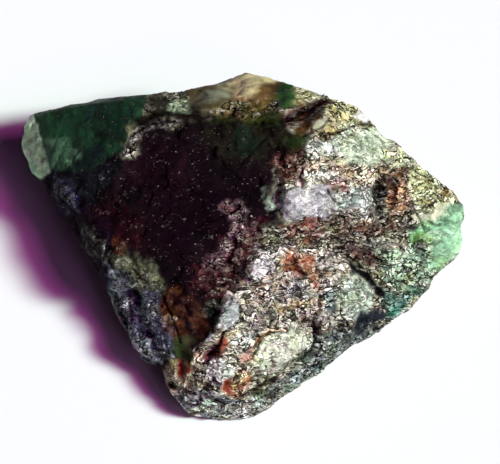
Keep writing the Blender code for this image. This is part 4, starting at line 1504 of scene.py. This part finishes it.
# %% [markdown]
# ## Glints
#
# On the dark cleavage face nearly everything above is off. What it has are glints: single grains that
# happen to face the light. Most are small dots of unequal brightness, denser in some places than in
# others, and a few are faint strokes.

# %% Glints and the whole colour
GLINT_COLOUR = (0.66, 0.60, 0.50, 1.0)
GLINT_STRENGTH = 0.85
DOT_SCALE = 2.8
DOT_RADIUS = (0.08, 0.21)
DOT_CONTRAST = 2.5
DOTS_CHOSEN = (0.35, 0.45)
FEWEST_DOTS, MORE_DOTS, MORE_DOTS_FROM = 0.3, 0.9, (0.44, 0.58)
STROKE_LINE = (0.5, 0.016)
STROKE_ENDS = (0.56, 0.63)
STROKES_FROM = (0.46, 0.54)
STROKE_STRENGTH = 0.22

stroke = line_along(cloud(1.5, 2.0), *STROKE_LINE)
stroke = stroke * cloud(1.9, 1.0).above(*STROKE_ENDS) * patchy.above(*STROKES_FROM)
spot = rock.node("ShaderNodeTexVoronoi", None, {"Vector": layered, "Scale": DOT_SCALE})
bright, chosen, _ = rock.parts(spot.outputs["Color"])
dot = Value(rock, spot.outputs["Distance"]).below(*DOT_RADIUS)
dot = dot * rock.sum("POWER", bright, DOT_CONTRAST) * chosen.above(*DOTS_CHOSEN)
dot = dot * (FEWEST_DOTS + MORE_DOTS * slow.above(*MORE_DOTS_FROM))
glint = specked * most(stroke * STROKE_STRENGTH, dot)
finished = rock.blend("MIX", glint * GLINT_STRENGTH, gapped, GLINT_COLOUR)
rock.feed(rock.shader.inputs["Base Color"], finished)
print("nodes with the colour", len(rock.tree.nodes))

# %% [markdown]
# ## Gloss and fine relief
#
# Under its gloss the stone is dull, so the shader's own reflection is turned down and the gloss comes
# from its coat, whose weight can change from place to place: a little on quartz and beryl, more on some
# mica leaves and on the glints, and none on the rest of the dark face. The fine relief is a height in
# millimetres that a Bump node turns into slopes: leaning leaves, their gaps, and a fine grain.

# %% Gloss and bump
BARE_SHINE = 0.05
COAT_ROUGHNESS = 0.22
BARE_ROUGHNESS, LESS_ON_GLASS, LESS_ON_MICA = 0.85, 0.35, 0.2
COAT_ON_GLASS, COAT_ON_MICA, COAT_ON_GLINTS = 0.12, 0.35, 0.8
SHINY_LEAVES = (0.6, 0.95)
LARGE_LEAN, SMALL_LEAN, TINY_LEAN = 0.9, 0.8, 0.3
STEP_HEIGHT = 0.08
GRAIN_HEIGHT = 0.12
FINE_HEIGHT = 0.04
GAP_DEPTH = 0.04
BUMP_ANYWHERE, MORE_ON_MICA, LESS_BUMP_ON_GLASS = 0.15, 0.85, 0.1

roughness = BARE_ROUGHNESS - glassy * LESS_ON_GLASS - flaky * small_gloss * LESS_ON_MICA
coat = glassy * COAT_ON_GLASS + mica_share * small_gloss.above(*SHINY_LEAVES) * COAT_ON_MICA
coat = coat + glint * COAT_ON_GLINTS
height = large_lean * LARGE_LEAN + small_lean * SMALL_LEAN + tiny_lean * TINY_LEAN
height = height + grain * GRAIN_HEIGHT - steps * STEP_HEIGHT + fine * FINE_HEIGHT
height = height * (flaky * MORE_ON_MICA + BUMP_ANYWHERE - glassy * LESS_BUMP_ON_GLASS)
height = height - gap * GAP_DEPTH
bump_sockets = {"Height": height, "Distance": MM, "Strength": 1.0}
bump = rock.output("ShaderNodeBump", None, bump_sockets, "Normal")
rock.feed(rock.shader.inputs["Specular IOR Level"], BARE_SHINE)
rock.feed(rock.shader.inputs["Coat Roughness"], COAT_ROUGHNESS)
rock.feed(rock.shader.inputs["Roughness"], roughness)
rock.feed(rock.shader.inputs["Coat Weight"], coat)
rock.feed(rock.shader.inputs["Normal"], bump)
stone.data.materials.clear()
stone.data.materials.append(rock.material)
print("nodes", len(rock.tree.nodes))

# %% [markdown]
# ## Put it in place
#
# The stone goes back to metres, gets smooth shading so that only its carved facets show, and takes the
# solid's place.

# %% Place and finish
stone.data.transform(Matrix.Scale(MM, 4))
stone.data.shade_smooth()
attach(stone, "root")
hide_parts(NODE)
